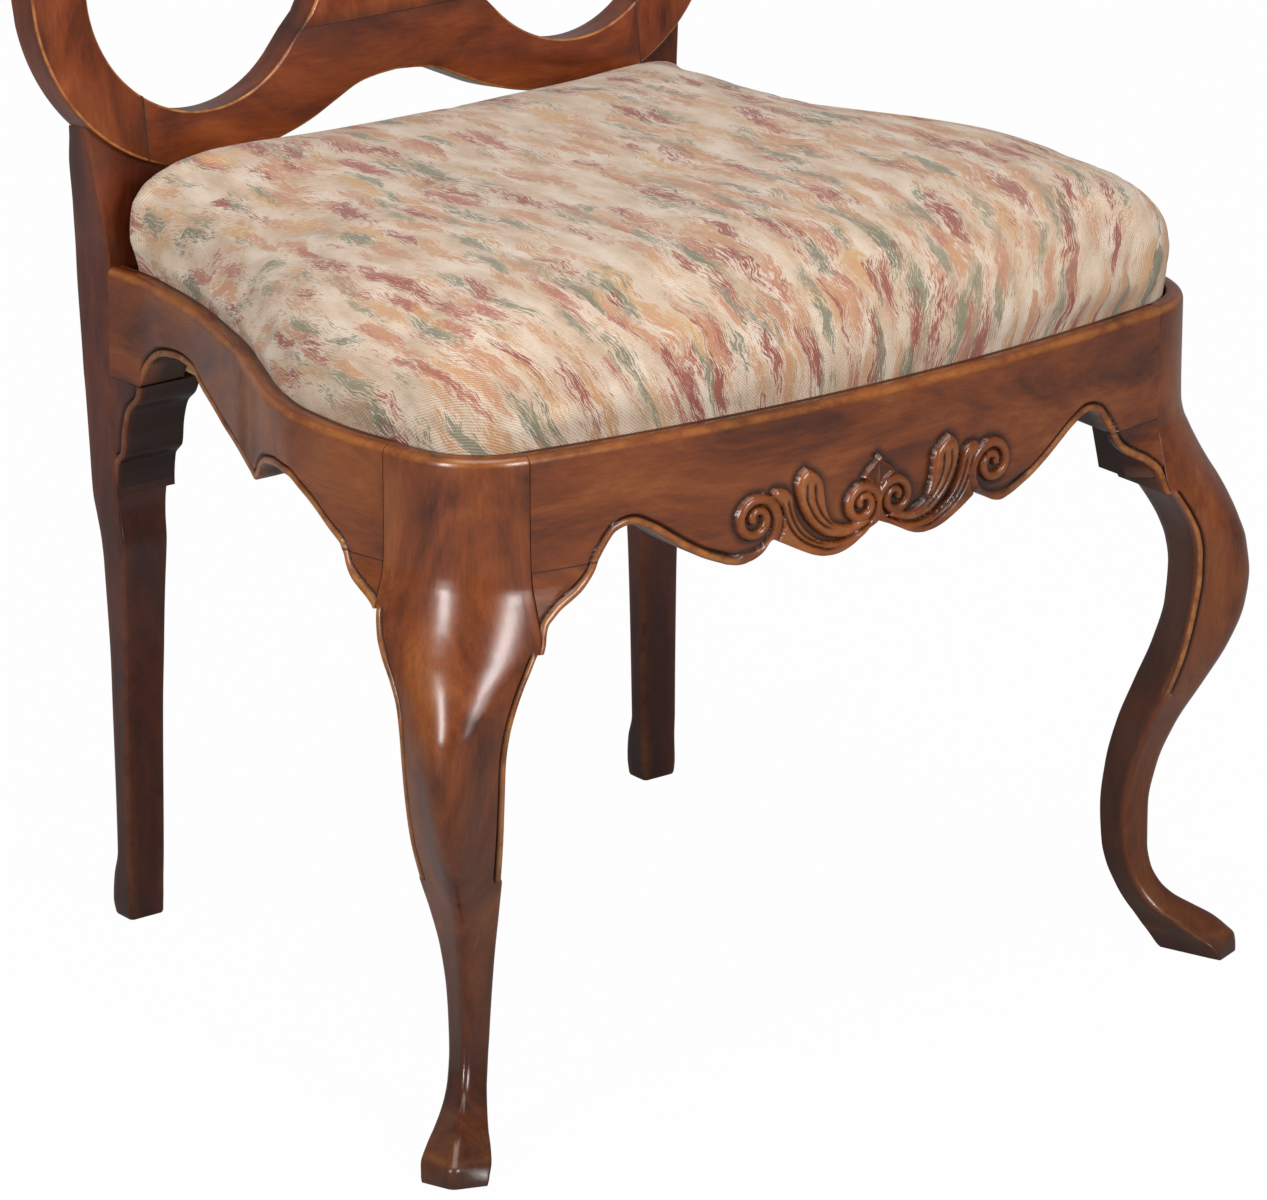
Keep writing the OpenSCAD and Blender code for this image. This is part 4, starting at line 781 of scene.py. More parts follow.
def make_front_legs():
    levels = np.concatenate([[0, 0.4, 1.2], np.arange(2, FOOT_TOP, 0.9), np.arange(FOOT_TOP, KNEE_FROM, 2.2),
                             np.arange(KNEE_FROM, RAIL_BOTTOM, 1.3), np.arange(RAIL_BOTTOM, 364, 2.5),
                             [370, LEDGE]])
    slope = np.abs(np.gradient(np.array([leg_corners(z)[0][3][1] for z in levels]), levels))
    rings, shades, wears = [], [], []
    for z, steep in zip(levels, slope):
        start = smooth_step(z, BEAD_END_Z, BEAD_END_Z + 2)
        # Each bead runs up to its own bracket
        bead_front = start * smooth_step(LEG_BEAD_TOP_FRONT - z, 0, BEAD_FADE)
        bead_side = start * smooth_step(LEG_BEAD_TOP_SIDE - z, 0, BEAD_FADE)
        ring, shade, wear = leg_ring(*leg_corners(z), z, bead_front, bead_side,
                                     math.sqrt(1 + min(steep, STEEPEST) ** 2))
        if z < TUCK_HEIGHT:
            centre = ring[:, :2].mean(0)
            ring[:, :2] = centre + (ring[:, :2] - centre) * (1 - 0.03 * (1 - z / TUCK_HEIGHT) ** 2)
        rings.append(ring)
        shades.append(np.maximum(shade, 0.55 * bump(z, 9)))
        wears.append(np.maximum(wear, 0.12 * bump(z - 12.5, 1.6)))
    # The block's top: rounded edge, flat lip, then the rabbet down to the ledge
    count = 2 * len(BEAD_ROWS) + OUTSIDE_STEPS
    line = section_curve(*leg_corners(LEDGE))[0]
    outward = walk(line, np.linspace(0, line_length(line), count))[1]
    away = np.arange(count) / 3.0
    # At its joints the lip runs straight on from the rails' lips
    for direction, near in (((0, -1), away), ((1, 0), away[::-1])):
        held = np.exp(-near ** 2)[:, None]
        outward = outward * (1 - held) + np.array(direction) * held
    steps = [(EDGE_ROUND * a, RAIL_TOP - EDGE_ROUND * b) for a, b in zip(*end_round(7))]
    steps += [(LIP_WIDTH - FINE_ROUND, RAIL_TOP), (LIP_WIDTH, RAIL_TOP - FINE_ROUND), (LIP_WIDTH, LEDGE)]
    flat = rings[-1]
    outside = np.arange(len(flat)) < count
    for inset, z in steps:
        ring = flat.copy()
        ring[:count, :2] -= outward * inset
        ring[:count, 2] = z
        rings.append(ring)
        # The flat of the lip is darker, and the rabbet face below it gets painted shade
        shades.append(outside * (LIP_SHADE * (inset > EDGE_ROUND) + 0.35 * (inset > LIP_WIDTH - 0.1)))
        wears.append(outside * edge_wear(inset) * (z > RAIL_TOP - EDGE_ROUND * 0.95))
    both_sides("front_leg_carved", rings, walnut_z, "front_leg", {"shade": shades, "wear": wears})


# Brackets: small blocks glued under the rails, with the rails' bead along their free edge.
# Their contours give z, then x on the front rail or y on a side rail.
FRONT_EAR = [(292.5, 219.6), (296.2, 218), (302, 216.4), (306, 214.6), (309.5, 210.6), (313, 206),
             (317.1, 198.4), (320.7, 192.2), (326.7, 185.4), (331.2, 182.2), (335, 180.6)]
SIDE_EAR = [(310, 86), (313.2, 90.8), (316.5, 97), (321.6, 105.8), (327.7, 111.6), (331.5, 113.4), (335, 116)]
REAR_EAR = [(262, 442.6), (264, 442.6), (281, 440.8), (290, 433.4), (303, 431.6), (310, 429.8),
            (317, 426.8), (325, 418.4), (331, 415.6), (335, 415)]
# The front bracket's back is sawn off straight at this x, above this height
SAWN_X, SAWN_FROM_Z = 204, 300
EAR_GAP = 0.15


def ear(name, node, contour, joint, place, depth_total, material, followed=None, sawn=False):
    """A bracket as rings up its height: moulded face, joint, plain sawn back and free edge."""
    z_low, z_high = contour[0][0], contour[-1][0]
    levels = np.linspace(z_low, z_high, int((z_high - z_low) / 0.7) + 2)
    line = np.column_stack([curve(contour, levels), levels])
    if followed is None:
        followed = np.vstack([line, [line[-1] + (line[-1] - line[-3])]])
    slope = np.abs(np.gradient(line[:, 0], levels))
    rings, shades, wears = [], [], []
    for (u_edge, z), steep in zip(line, slope):
        u_joint = joint(z)
        sign = 1 if u_joint > u_edge else -1
        width = abs(u_joint - u_edge)
        rows = BEAD_ROWS * math.sqrt(1 + min(steep, STEEPEST) ** 2)
        rows = rows * min(1, 0.7 * max(width, 0.5) / rows[-1])
        plain = rows[-1] + (width - rows[-1]) * np.linspace(0, 1, 7)[1:]
        across = u_edge + sign * np.concatenate([rows, plain])
        heights = np.full(len(across), z)
        e = distance_to(followed, across, heights)[0]
        rough = u_edge
        if sawn:
            rough = u_edge + (SAWN_X - u_edge) * smooth_step(z, SAWN_FROM_Z, SAWN_FROM_Z + 1.5)
        back_u = np.array([u_joint, (u_joint + rough) / 2, rough, rough, u_edge])
        back_depth = np.array([depth_total, depth_total, depth_total, depth_total * 0.45, BEAD_BACK + 3.5])
        rings.append(np.vstack([place(across, bead_depth(e), heights),
                                place(back_u, back_depth, heights[:5])]))
        joint_line = JOINT_SHADE * (z > z_high - 0.5)
        # The bracket's joint, back and under faces get painted shade
        shades.append(np.append(np.maximum(bead_shade(e), joint_line), [0.5, 0.8, 0.85, 0.8, 0.6]))
        wears.append(np.append(bead_wear(e), np.zeros(5)))
    both_sides(name, rings, material, node, {"shade": shades, "wear": wears})


# Rear posts: z, outer face, width, front face's step forward, depth
POST_ROWS = [(0, 203, 24, -6, 17.2), (9, 203.6, 24.6, -6.5, 19.6), (25, 203.6, 25.4, -6, 17.5),
             (41, 204, 26.4, -6, 13), (132, 204, 27.5, -7, 15.8), (170, 204, 28.5, -8, 18),
             (218, 204, 31, -8, 22), (232, 204, 32.5, -7, 23.1), (246, 204, 34, -4, 24.2),
             (259, 204, 36, -2, 26), (288, 204, 40, -1.5, 28), (317, 204, 41, -1, 30),
             (335, 204, 41, 0, 31), (400, 204.4, 44, 0, 35), (428, 207.5, 51, 0, 32),
             (458, 211, 57, 3, 26.6), (478, 213.6, 60, 5.3, 19.6), (496, 215, 61, 7, 17.5)]
POST_ROUND = 2.6
# How worn each point of a post's section is: its four rounded arrises and the faces between them
POST_WEAR = ([0.1, 0.14, 0.14, 0.14, 0.14, 0.1] + 3 * [0]) * 4
# The back's raked plane
RAKE = math.radians(7.5)
RING_HEIGHT = 444.0
RING_Y = POST_Y - RING_PROUD
RING_RADIUS = 112.0
RING_RISE = 118.0
BACK_HALF_WIDTH = 245.0
BACK_THICKNESS = 23.0
RING_X = BACK_HALF_WIDTH - RING_RADIUS
BACK_RISE = (CREST_TOP - RING_HEIGHT) / math.cos(RAKE)


def on_back(u, v, w):
    """A place on the raked back: to the side, up the slope and behind the face."""
    return np.column_stack([u, RING_Y + v * math.sin(RAKE) + w * math.cos(RAKE),
                            RING_HEIGHT + v * math.cos(RAKE) - w * math.sin(RAKE)])


def post_top(x, y):
    """Height at which a post ends under the ring."""
    reach = np.clip(np.abs(x - RING_X), 0, RING_RADIUS - 1)
    up = RING_RISE - np.sqrt(RING_RADIUS ** 2 - reach ** 2)
    behind = (y - RING_Y - up * math.sin(RAKE)) / math.cos(RAKE)
    return RING_HEIGHT + up * math.cos(RAKE) - behind * math.sin(RAKE) - 0.2


def post_section(z):
    """Section of a rear post, with rounded arrises and three points on each face."""
    outer, width, front, depth = [float(curve(POST_ROWS, z, k)) for k in (1, 2, 3, 4)]
    r = POST_ROUND
    x0, x1 = outer - width + r, outer - r
    y0, y1 = POST_Y + front + r, POST_Y + front + depth - r
    corners = []
    for place, start in (((x1, y0), -90), ((x1, y1), 0), ((x0, y1), 90), ((x0, y0), 180)):
        angle = np.radians(start + np.linspace(0, 90, 6))
        corners.append(place + r * np.column_stack([np.cos(angle), np.sin(angle)]))
    points = []
    for corner, following in zip(corners, corners[1:] + corners[:1]):
        points += [corner] + [corner[-1] * (1 - t) + following[0] * t for t in (0.25, 0.5, 0.75)]
    return np.vstack(points)


def make_posts():
    low_end = RING_HEIGHT + 2
    rings = []
    for z in np.concatenate([[0, 0.5, 1.5], np.arange(3, 60, 2.5), np.arange(60, low_end, 4.0)]):
        section = post_section(z)
        tuck = 1 - 0.05 * max(0, 1 - z / 1.5) ** 2
        section = section.mean(0) + (section - section.mean(0)) * tuck
        rings.append(np.column_stack([section, np.full(len(section), z)]))
    # Above the lowest place of the ring, the post's own rings run out into the cope
    for share in np.linspace(0, 1, 16):
        height = low_end
        for _ in range(4):
            section = post_section(height)
            height = low_end + share * (post_top(*section.T).mean() - low_end)
        ring = []
        for k, place in enumerate(section):
            for _ in range(3):
                z = low_end + share * (post_top(*place) - low_end)
                place = post_section(z)[k]
            ring.append((*place, z))
        rings.append(ring)
    marks = {"wear": [POST_WEAR] * len(rings), "shade": np.zeros((len(rings), len(POST_WEAR)))}
    both_sides("rear_post_shaped", rings, dark_walnut_z, "rear_post", marks)


def make_ears():
    def front_face(x, depth, z):
        return np.column_stack([x, front_y(x) - knee_swell(z, "front") + depth, z])

    def side_face(y, depth, z):
        return np.column_stack([side_x(y) + knee_swell(z, "side") - depth, y, z])

    def rear_face(y, depth, z):
        return np.column_stack([float(curve(POST_ROWS, z[0], 1)) - depth, y, z])

    ear("front_ear", "front_knee_bracket", FRONT_EAR, lambda z: leg_corners(z)[0][1][0] - EAR_GAP,
        front_face, BRACKET_DEPTH, walnut_x, bead_line(FRONT_EDGE, FRONT_EAR), sawn=True)
    ear("side_ear", "side_knee_bracket", SIDE_EAR, lambda z: leg_corners(z)[0][3][1] + EAR_GAP,
        side_face, BRACKET_DEPTH, walnut_y, bead_line(SIDE_EDGE, SIDE_EAR))
    ear("rear_ear", "rear_bracket", REAR_EAR, lambda z: POST_Y + float(curve(POST_ROWS, z, 3)) - EAR_GAP,
        rear_face, REAR_BRACKET_DEPTH, dark_walnut_z)


# The back. The hoop's outline above the rings: half width and place up the slope, as shares of the
# half width and of the rise above the rings' centre. The photograph doesn't show it.
HOOP = [(1, 0), (1.003, 0.1), (0.98, 0.32), (0.931, 0.515), (0.874, 0.65), (0.776, 0.77),
        (0.612, 0.88), (0.388, 0.956), (0.184, 0.99), (0, 1)]
ARCH = [(0, 40), (16.3, 38.6), (29.4, 35.6), (44.8, 28.7), (62.8, 20.6), (81.2, 14.8), (97, 11.4)]
OPENING_SIDE = [(0.849, 0.003), (0.855, 0.1), (0.841, 0.275), (0.804, 0.451), (0.763, 0.584),
                (0.714, 0.69), (0.633, 0.788), (0.51, 0.852), (0.388, 0.869), (0.278, 0.854),
                (0.204, 0.81), (0.163, 0.749), (0.155, 0.688), (0.196, 0.614), (0.269, 0.527),
                (0.298, 0.438), (0.282, 0.353), (0.224, 0.244), (0.167, 0.144), (0.147, 0.057),
                (0.167, -0.007), (0.231, -0.065)]
OPENING_RADIUS = 76.0
OPENING_CENTRE = np.array([RING_X - 1.0, RING_RADIUS + 2.0])
JOINT_X = 177.0
SPLAT_JOINT = 73.6
CREST_JOINT = 0.79 * BACK_RISE
SPLAT_TOP = 0.862 * BACK_RISE
# How far past the arch's end the ring begins, and where the ring and the opening's arc end, in degrees
ARCH_REACH = 7.8
RING_END = -8
OPENING_ARC = (-137, -6)
OUTLINE_STEP = 2.0
ARRIS = 1.5
JOINT_ARRIS = 0.3


def arc(centre, radius, start, end):
    count = max(3, int(abs(math.radians(end - start)) * radius / OUTLINE_STEP))
    return circle_points(centre, radius, np.radians(np.linspace(start, end, count)))


def spline(points):
    """Dense smooth line through the points."""
    p = np.asarray(points, float)
    p = np.vstack([2 * p[0] - p[1], p, 2 * p[-1] - p[-2]])
    result = []
    for a, b, c, d in zip(p, p[1:], p[2:], p[3:]):
        count = max(2, int(np.hypot(*(c - b)) / OUTLINE_STEP))
        t = np.linspace(0, 1, count, endpoint=False)[:, None]
        result.append((2 * b + (c - a) * t + (2 * a - 5 * b + 4 * c - d) * t ** 2
                       + (-a + 3 * b - 3 * c + d) * t ** 3) / 2)
    return np.vstack(result + [p[-2:-1]])


def cut_at(line, axis, value, which=0):
    """Place along a line, as a fractional index, where it passes a value of x or y."""
    beyond = line[:, axis] > value
    k = np.nonzero(beyond[:-1] != beyond[1:])[0][which]
    return k + (value - line[k, axis]) / (line[k + 1, axis] - line[k, axis])


def stretch_of(line, start, end):
    """Part of a line between two fractional indices."""
    def at(place):
        k = int(min(place, len(line) - 2))
        return line[k] + (line[k + 1] - line[k]) * (place - k)
    middle = line[int(math.floor(start)) + 1:int(math.ceil(end))]
    return np.vstack([[at(start)], middle, [at(end)]])


def signed_area(outline):
    x, y = outline.T
    return 0.5 * np.sum(x * np.roll(y, -1) - np.roll(x, -1) * y)


def inward_moves(outline, joints):
    """How each point moves in for the arris, and the arris there. A joint's edge takes the small one."""
    ways = np.roll(outline, -1, axis=0) - outline
    ways /= np.hypot(ways[:, 0], ways[:, 1])[:, None]
    after = np.column_stack([-ways[:, 1], ways[:, 0]])
    before = np.roll(after, 1, axis=0)
    size_after = np.where(joints & np.roll(joints, -1), JOINT_ARRIS, ARRIS)
    size_before = np.roll(size_after, 1)
    size = np.minimum(size_before, size_after)
    bend = 1 + (before * after).sum(1)
    smooth_move = (before + after) / np.maximum(bend, 0.2)[:, None] * size[:, None]
    cross = before[:, 0] * after[:, 1] - before[:, 1] * after[:, 0]
    square = (bend < 1.6) & (np.abs(cross) >= 0.3)
    safe = np.where(square, cross, 1)
    corner_move = np.column_stack([(size_before * after[:, 1] - size_after * before[:, 1]) / safe,
                                   (size_after * before[:, 0] - size_before * after[:, 0]) / safe])
    return np.where(square[:, None], corner_move, smooth_move), size


def plate(name, lines, material, node_names, joint_at_start=True):
    """A plate of the back from lines that end at its joints. Its other arrises are rounded."""
    outline = np.vstack(lines)
    joints = np.concatenate([[True] + [False] * (len(line) - 2) + [True] for line in lines])
    joints[[0, -1]] = joint_at_start
    keep = np.hypot(*(outline - np.roll(outline, 1, axis=0)).T) > 0.05
    outline, joints = outline[keep], joints[keep]
    if signed_area(outline) < 0:
        outline, joints = outline[::-1], joints[::-1]
    move, size = inward_moves(outline, joints)
    rim = [(down, size * inward, worn) for inward, down, worn in zip(*end_round(5), (0, 1, 1, 1, 0))]
    steps = [(down, depth, 0.75 * worn) for down, depth, worn in rim]
    steps += [(0, np.full(len(outline), BACK_THICKNESS * share), 0) for share in (0.3, 0.7)]
    steps += [(down, BACK_THICKNESS - depth, 0.4 * worn) for down, depth, worn in rim[::-1]]
    rings = [on_back(*(outline + move * down).T, depth) for down, depth, _ in steps]
    shade = np.zeros((len(rings), len(outline)))
    # Painted shade on the plate's edge faces; its joints are dark glue lines
    shade[4:8] = 0.25
    shade[:, joints] = 0.75
    shade[0, joints] = 0.5
    wear = [np.where(joints, 0, worn) for _, _, worn in steps]
    make_piece(name, rings, material, node_names, marks={"wear": wear, "shade": shade})


def make_back():
    arch = spline(ARCH)
    start = -math.degrees(math.acos((ARCH[-1][0] + ARCH_REACH - RING_X) / RING_RADIUS))
    ring = arc((RING_X, RING_RISE), RING_RADIUS, start, RING_END)
    hoop = spline([(u * BACK_HALF_WIDTH, RING_RISE + v * (BACK_RISE - RING_RISE)) for u, v in HOOP])
    outer = np.vstack([arch[:-1], ring, hoop[1:]])
    side = spline([(u * BACK_HALF_WIDTH, RING_RADIUS + v * (BACK_RISE - RING_RADIUS))
                   for u, v in OPENING_SIDE])
    opening = np.vstack([arc(OPENING_CENTRE, OPENING_RADIUS, *OPENING_ARC), side])
    opening = np.vstack([opening, opening[:1]])
    flip = np.array([-1, 1])

    outer_joint, inner_joint = [cut_at(line, 0, JOINT_X) for line in (outer, opening)]
    outer_crest, inner_crest = [cut_at(line, 1, CREST_JOINT) for line in (outer, opening)]
    splat_low = cut_at(opening, 1, SPLAT_JOINT, 1)
    splat_high = cut_at(opening, 1, SPLAT_TOP, 1)

    stile = [stretch_of(outer, outer_joint, outer_crest), stretch_of(opening, inner_joint, inner_crest)[::-1]]
    for sign, word in ((1, "right"), (-1, "left")):
        plate(f"hoop_stile_{word}", [line * (sign, 1) for line in stile], amber_z, [f"back_stile_{word}"])

    half = stretch_of(outer, 0, outer_joint)[1:]
    around = np.vstack([stretch_of(opening, splat_low, len(opening) - 1),
                        stretch_of(opening, 0, inner_joint)[1:]])
    left_half = np.vstack([(half * flip)[::-1], [[0, ARCH[0][1]]]])
    plate("lower_rail_shaped", [half, around[::-1], around * flip, left_half], amber_x, ["back_lower_rail"],
          joint_at_start=False)

    splat_side = stretch_of(opening, splat_high, splat_low)
    plate("splat_shaped", [splat_side, (splat_side * flip)[::-1]], amber_z, ["splat"])

    crest_outer = stretch_of(outer, outer_crest, len(outer) - 1)
    crest_inner = stretch_of(opening, inner_crest, splat_high)
    whole_outer = np.vstack([crest_outer, (crest_outer * flip)[::-1][1:]])
    plate("crest_shaped", [whole_outer, crest_inner * flip, crest_inner[::-1]], amber_x, ["crest_rail"])


# The drop-in seat
SEAT_GAP = 0.8
SEAT_EDGE = LIP_WIDTH + SEAT_GAP
SEAT_REAR = POST_Y - RING_PROUD - BACK_GAP
REAR_CORNER = 12.0
CROWN = 80.0
CUSHION_BOTTOM = LEDGE + 0.3
CUSHION_TOP = RAIL_TOP + CROWN
SEAT_MIDDLE = np.array([0.0, POST_Y / 2])
# Height share, then how far the cushion has drawn in to its middle
CUSHION_PROFILE = [(0, 0), (0.14, 0), (0.22, -0.008), (0.34, -0.018), (0.48, -0.016), (0.65, 0.008),
                   (0.775, 0.065), (0.875, 0.18), (0.95, 0.38), (0.99, 0.68), (1, 1)]
REAR_FULLNESS = 6.0
VOXEL_SIZE = 5.5
HELD_HEIGHT = 16
SWELL_CAP = 3.5
# The lining under the seat frame
LINING_SET = 24
LINING_THICKNESS = 0.7
LINING_TOP = LEDGE + 0.3 + 1.2


def whole_plan(inset, rear):
    """Plan of the seat, inside the rails' faces by an inset and ending at a rear y."""
    corner = bezier(np.array([SIDE_PLAN[0][1], SIDE_JOINT_Y]), BLOCK_CORNER,
                    np.array([FRONT_JOINT_X, FRONT_BOW]), 16)
    normal = np.gradient(corner, axis=0)
    normal = np.column_stack([normal[:, 1], -normal[:, 0]])
    normal /= np.hypot(normal[:, 0], normal[:, 1])[:, None]
    inward = corner + normal * inset * (1 if normal[8, 0] < 0 else -1)
    y = np.linspace(rear - REAR_CORNER, SIDE_JOINT_Y, 60)[1:]
    x = np.linspace(FRONT_JOINT_X, 0, 40)[1:]
    rear_x = float(side_x(rear)) - inset - REAR_CORNER
    back_x = np.linspace(0, rear_x, 30)[:-1]
    half = np.vstack([
        np.column_stack([back_x, np.full(len(back_x), rear)]),
        circle_points((rear_x, rear - REAR_CORNER), REAR_CORNER, np.radians(np.linspace(90, 0, 8))),
        np.column_stack([side_x(y) - inset, y]), inward[1:-1], np.column_stack([x, front_y(x) + inset])])
    return np.vstack([half, (half * (-1, 1))[::-1][1:-1]])


def cushion_rings():
    """Closed form of the cushion: upright at its rear edge, full at its sides, crowned on top."""
    plan = whole_plan(SEAT_EDGE + 0.3, SEAT_REAR)
    corner = smooth_step(plan[:, 1], 250, 420) * smooth_step(np.abs(plan[:, 0]), 90, 190)
    rings = []
    for share in np.concatenate([[0, 0.06], np.linspace(0.12, 0.9, 22), [0.93, 0.955, 0.975, 0.99]]):
        draw = float(curve(CUSHION_PROFILE, share))
        held = 0.36 * corner * (1 - share) ** 0.3
        ring = plan + (SEAT_MIDDLE - plan) * (draw * np.where(draw > 0, 1 - held, 1))[:, None]
        ring[:, 1] = np.minimum(ring[:, 1], SEAT_REAR)
        full = REAR_FULLNESS * smooth_step(ring[:, 1], 290, 400) * bump(share - 0.55, 0.3)
        ring[:, 0] += np.sign(ring[:, 0]) * full * smooth_step(np.abs(ring[:, 0]), 60, 160)
        z = CUSHION_BOTTOM + share * (CUSHION_TOP - CUSHION_BOTTOM)
        rings.append(np.column_stack([ring, np.full(len(ring), z)]))
    return rings


def apply_modifiers(piece):
    graph = bpy.context.evaluated_depsgraph_get()
    fresh = bpy.data.meshes.new_from_object(piece.evaluated_get(graph))
    piece.modifiers.clear()
    old = piece.data
    piece.data = fresh
    bpy.data.meshes.remove(old)


def vertex_places(piece):
    place = np.zeros(len(piece.data.vertices) * 3)
    piece.data.vertices.foreach_get("co", place)
    return place.reshape(-1, 3)


def move_vertices(piece, place):
    piece.data.vertices.foreach_set("co", place.ravel())


def inflate(piece):
    """Lets the stuffing press the cover out for a moment, as cloth under pressure."""
    before = vertex_places(piece)
    settings = piece.modifiers.new("cover", "CLOTH").settings
    settings.use_pressure = True
    settings.uniform_pressure_force = 4
    settings.tension_stiffness = 40
    settings.shear_stiffness = 20
    settings.bending_stiffness = 2
    settings.effector_weights.gravity = 0
    pinned = piece.vertex_groups.new(name="held")
    low = (CUSHION_BOTTOM + HELD_HEIGHT) * MM
    pinned.add(np.nonzero(before[:, 2] < low)[0].tolist(), 1.0, "REPLACE")
    settings.vertex_group_mass = "held"
    for step in range(1, 16):
        bpy.context.scene.frame_set(step)
    apply_modifiers(piece)
    bpy.context.scene.frame_set(1)
    move = vertex_places(piece) - before
    reach = np.linalg.norm(move, axis=1)
    share = np.minimum(1, SWELL_CAP * MM / np.maximum(reach, 1e-9))
    move_vertices(piece, before + move * share[:, None])
    piece.vertex_groups.clear()


def settle(piece):
    """Keeps the cushion in front of the back, off the ledge and below its crown."""
    place = vertex_places(piece)
    place[:, 1] = np.minimum(place[:, 1], (SEAT_REAR - MIDDLE_Y) * MM)
    place[:, 2] = np.clip(place[:, 2], CUSHION_BOTTOM * MM, CUSHION_TOP * MM)
    move_vertices(piece, place)


def flat_cloth(place):
    """Place of each point on the cloth before it was stretched over the seat, in metres."""
    away = place[:, :2] - np.array([0, (SEAT_MIDDLE[1] - MIDDLE_Y) * MM])
    reach = np.maximum(np.hypot(away[:, 0], away[:, 1]), 1e-6)
    fall = CUSHION_TOP * MM - place[:, 2]
    return np.column_stack([away * (1 + fall / reach)[:, None], np.zeros(len(away))])


def make_cushion():
    piece = make_piece("seat_cushion", cushion_rings(), seat_cloth, [], body="seat")
    bpy.context.view_layer.objects.active = piece
    remesh = piece.modifiers.new("even", "REMESH")
    remesh.mode = "VOXEL"
    remesh.voxel_size = VOXEL_SIZE * MM
    apply_modifiers(piece)
    inflate(piece)
    settle(piece)
    divide = piece.modifiers.new("finer", "SUBSURF")
    divide.levels = divide.render_levels = 1
    apply_modifiers(piece)
    mesh = piece.data
    mesh.shade_smooth()
    mesh.materials.clear()
    mesh.materials.append(seat_cloth)
    layer = mesh.attributes.new("cloth", "FLOAT_VECTOR", "POINT")
    layer.data.foreach_set("vector", flat_cloth(vertex_places(piece)).astype(np.float32).ravel())
    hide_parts("seat_cover", "seat_pad")


def make_lining():
    """Thin cloth stretched flat under the seat frame."""
    plan = whole_plan(SEAT_EDGE + LINING_SET + SEAT_GAP, SEAT_REAR - LINING_SET - SEAT_GAP)
    shares = np.linspace(0, 0.96, 14)
    rings = []
    for z, order in ((LINING_TOP, shares[::-1]), (LINING_TOP - LINING_THICKNESS, shares)):
        rings += [np.column_stack([plan + (SEAT_MIDDLE - plan) * share, np.full(len(plan), z)])
                  for share in order]
    piece = make_piece("lining", rings, lining, ["dust_cover"], body="seat")


# Materials and softened arrises of the CAD pieces that stay
def dress(names, material, arris=0.0):
    for name in names:
        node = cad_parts[name]
        node.data.materials.clear()
        node.data.materials.append(material)
        if arris:
            soften = node.modifiers.new("arris", "BEVEL")
            soften.width = arris * MM
            soften.segments = 2
            soften.limit_method = "ANGLE"
            soften.angle_limit = math.radians(40)


def dress_frame():
    dress(["rear_rail"], dark_walnut_x, 1.2)
    dress(["rear_batten", "seat_frame_front", "seat_frame_rear"], plain_wood_x, 1.0)
    dress(["seat_frame_left", "seat_frame_right", "back_dowels", "seat_frame_dowels"], plain_wood_y)
    corner_blocks = [f"{end}_corner_block_{side}" for end in ("front", "rear") for side in ("left", "right")]
    dress(corner_blocks, plain_wood_x)
    dress(["corner_block_screws", "cover_tacks"], steel_metal)
    dress(["webbing_front_to_back", "webbing_side_to_side"], webbing_cloth)


make_rails()
make_front_legs()
make_ears()
make_posts()
make_back()
make_cushion()
make_lining()
dress_frame()

# Camera: solved from the photograph
CAMERA_PLACE = (-2.3867, -3.1448, 1.5856)
CAMERA_YAW = 37.607
CAMERA_PITCH = 19.277
CAMERA_ROLL = -0.06
FOCAL_PIXELS = 7237.7
PHOTO_WIDTH = 1267
SENSOR_WIDTH = 36.0

camera_data = bpy.data.cameras.new("camera")
camera_data.sensor_width = SENSOR_WIDTH
camera_data.lens = FOCAL_PIXELS * SENSOR_WIDTH / PHOTO_WIDTH
camera_data.clip_end = 50
camera = bpy.data.objects.new("camera", camera_data)
camera.rotation_mode = "XYZ"
camera.location = CAMERA_PLACE
camera.rotation_euler = Euler([math.radians(turn) for turn in (90 - CAMERA_PITCH, CAMERA_ROLL, -CAMERA_YAW)])
bpy.context.scene.collection.objects.link(camera)
bpy.context.scene.camera = camera

# Lamps: all of them look at the same place
AIM = (0, 0, 0.35)
FLOOR_REACH = 6.0
FLOOR_GREY = (0.4, 0.4, 0.4, 1)
FLOOR_WHITENESS = 0.985
AROUND = {"Color": (0.95, 0.97, 1, 1), "Strength": 0.3}


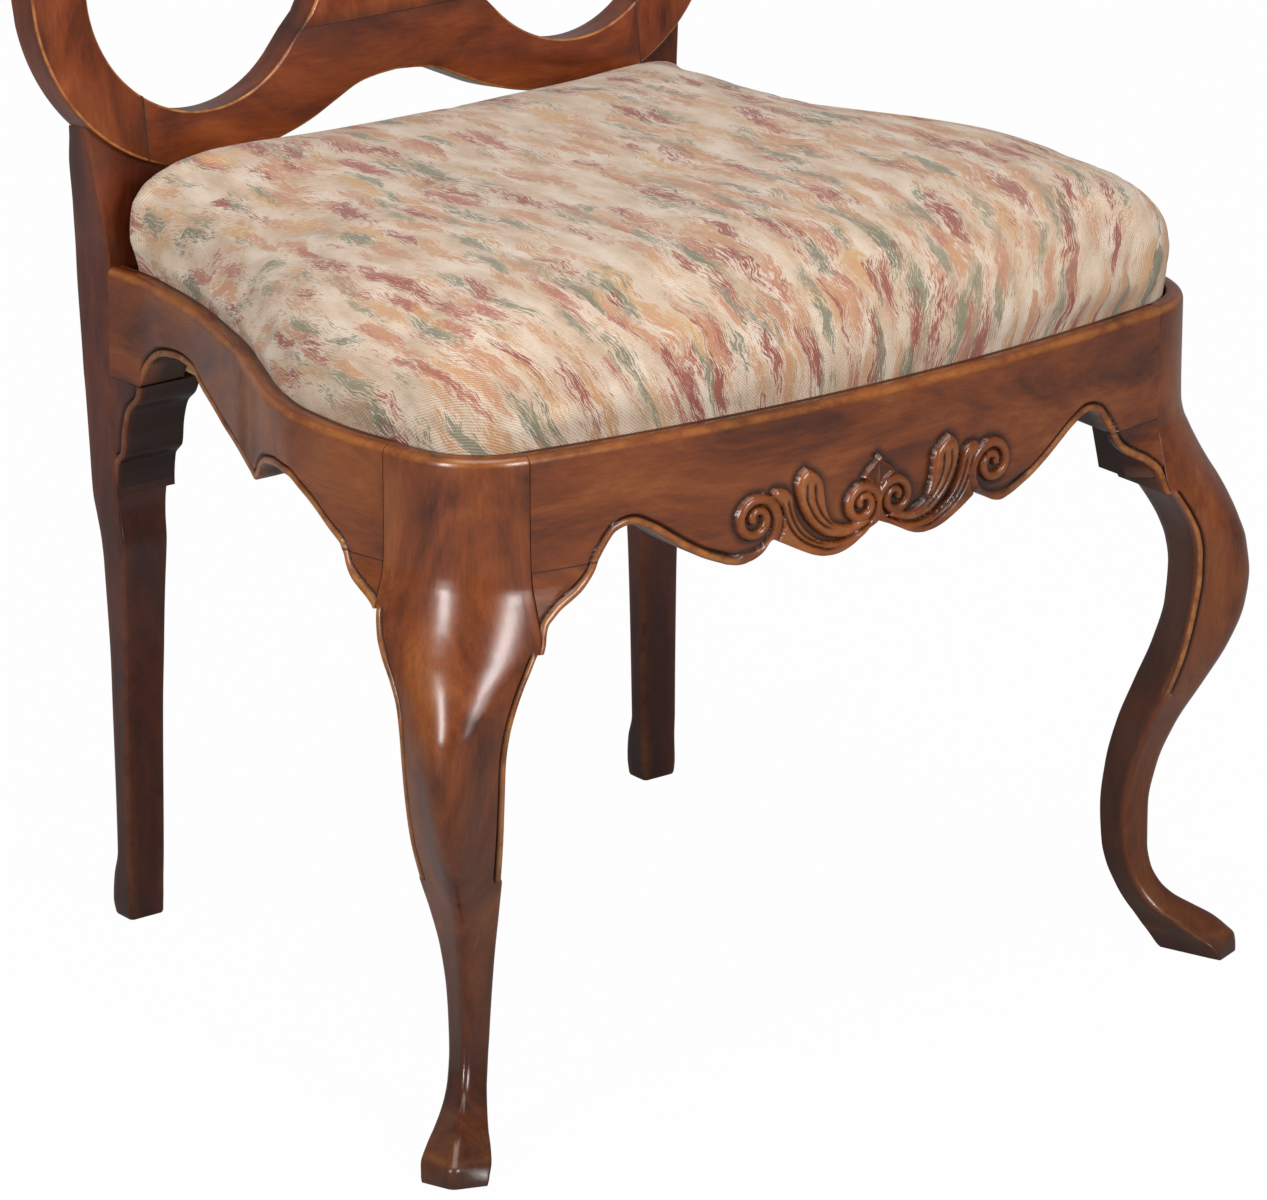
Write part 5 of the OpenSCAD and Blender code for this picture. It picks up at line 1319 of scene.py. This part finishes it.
def softbox(name, place, size, power):
    data = bpy.data.lights.new(name, "AREA")
    data.shape = "RECTANGLE"
    data.size, data.size_y = size
    data.energy = power
    lamp = bpy.data.objects.new(name, data)
    lamp.location = place
    lamp.rotation_mode = "QUATERNION"
    lamp.rotation_quaternion = (Vector(AIM) - Vector(place)).to_track_quat("-Z", "Y")
    bpy.context.scene.collection.objects.link(lamp)


softbox("left_softbox", (-3.2, -0.9, 1.5), (0.5, 1.3), 44)
softbox("left_halo", (-3.3, -0.95, 1.4), (1.0, 2.1), 26)
softbox("right_softbox", (-0.05, -3.5, 1.85), (0.7, 1.1), 44)
softbox("right_halo", (-0.05, -3.6, 1.65), (1.3, 2.2), 42)
softbox("top_softbox", (-0.4, -0.6, 3.2), (2.0, 2.0), 48)


def seen_white(owner, output, shader, white, share):
    """Gives an owner of nodes its own shader, and white by a share where the camera sees it directly."""
    tree = Tree(owner)
    tree.nodes.clear()
    seen = tree.maths("MULTIPLY", tree.add("LightPath").outputs["Is Camera Ray"], share)
    own = tree.add(*shader).outputs[0]
    mix = tree.add("MixShader", {0: seen, 1: own, 2: tree.add(*white).outputs[0]})
    tree.add(output, {"Surface": mix.outputs["Shader"]})


def make_floor():
    mesh = bpy.data.meshes.new("floor")
    corners = [(FLOOR_REACH * x, FLOOR_REACH * y, 0) for x, y in ((-1, -1), (1, -1), (1, 1), (-1, 1))]
    mesh.from_pydata(corners, [], [(0, 1, 2, 3)])
    floor = bpy.data.objects.new("floor", mesh)
    bpy.context.scene.collection.objects.link(floor)
    material = bpy.data.materials.new("floor")
    seen_white(material, "OutputMaterial", ("BsdfDiffuse", {"Color": FLOOR_GREY}),
               ("Emission", {"Color": (1, 1, 1, 1), "Strength": 1.0}), FLOOR_WHITENESS)
    mesh.materials.append(material)


def make_world():
    world = bpy.data.worlds.new("studio")
    bpy.context.scene.world = world
    seen_white(world, "OutputWorld", ("Background", AROUND), ("Background", {"Color": (1, 1, 1, 1)}), 1.0)


make_floor()
make_world()
bpy.context.scene.view_settings.view_transform = "Standard"
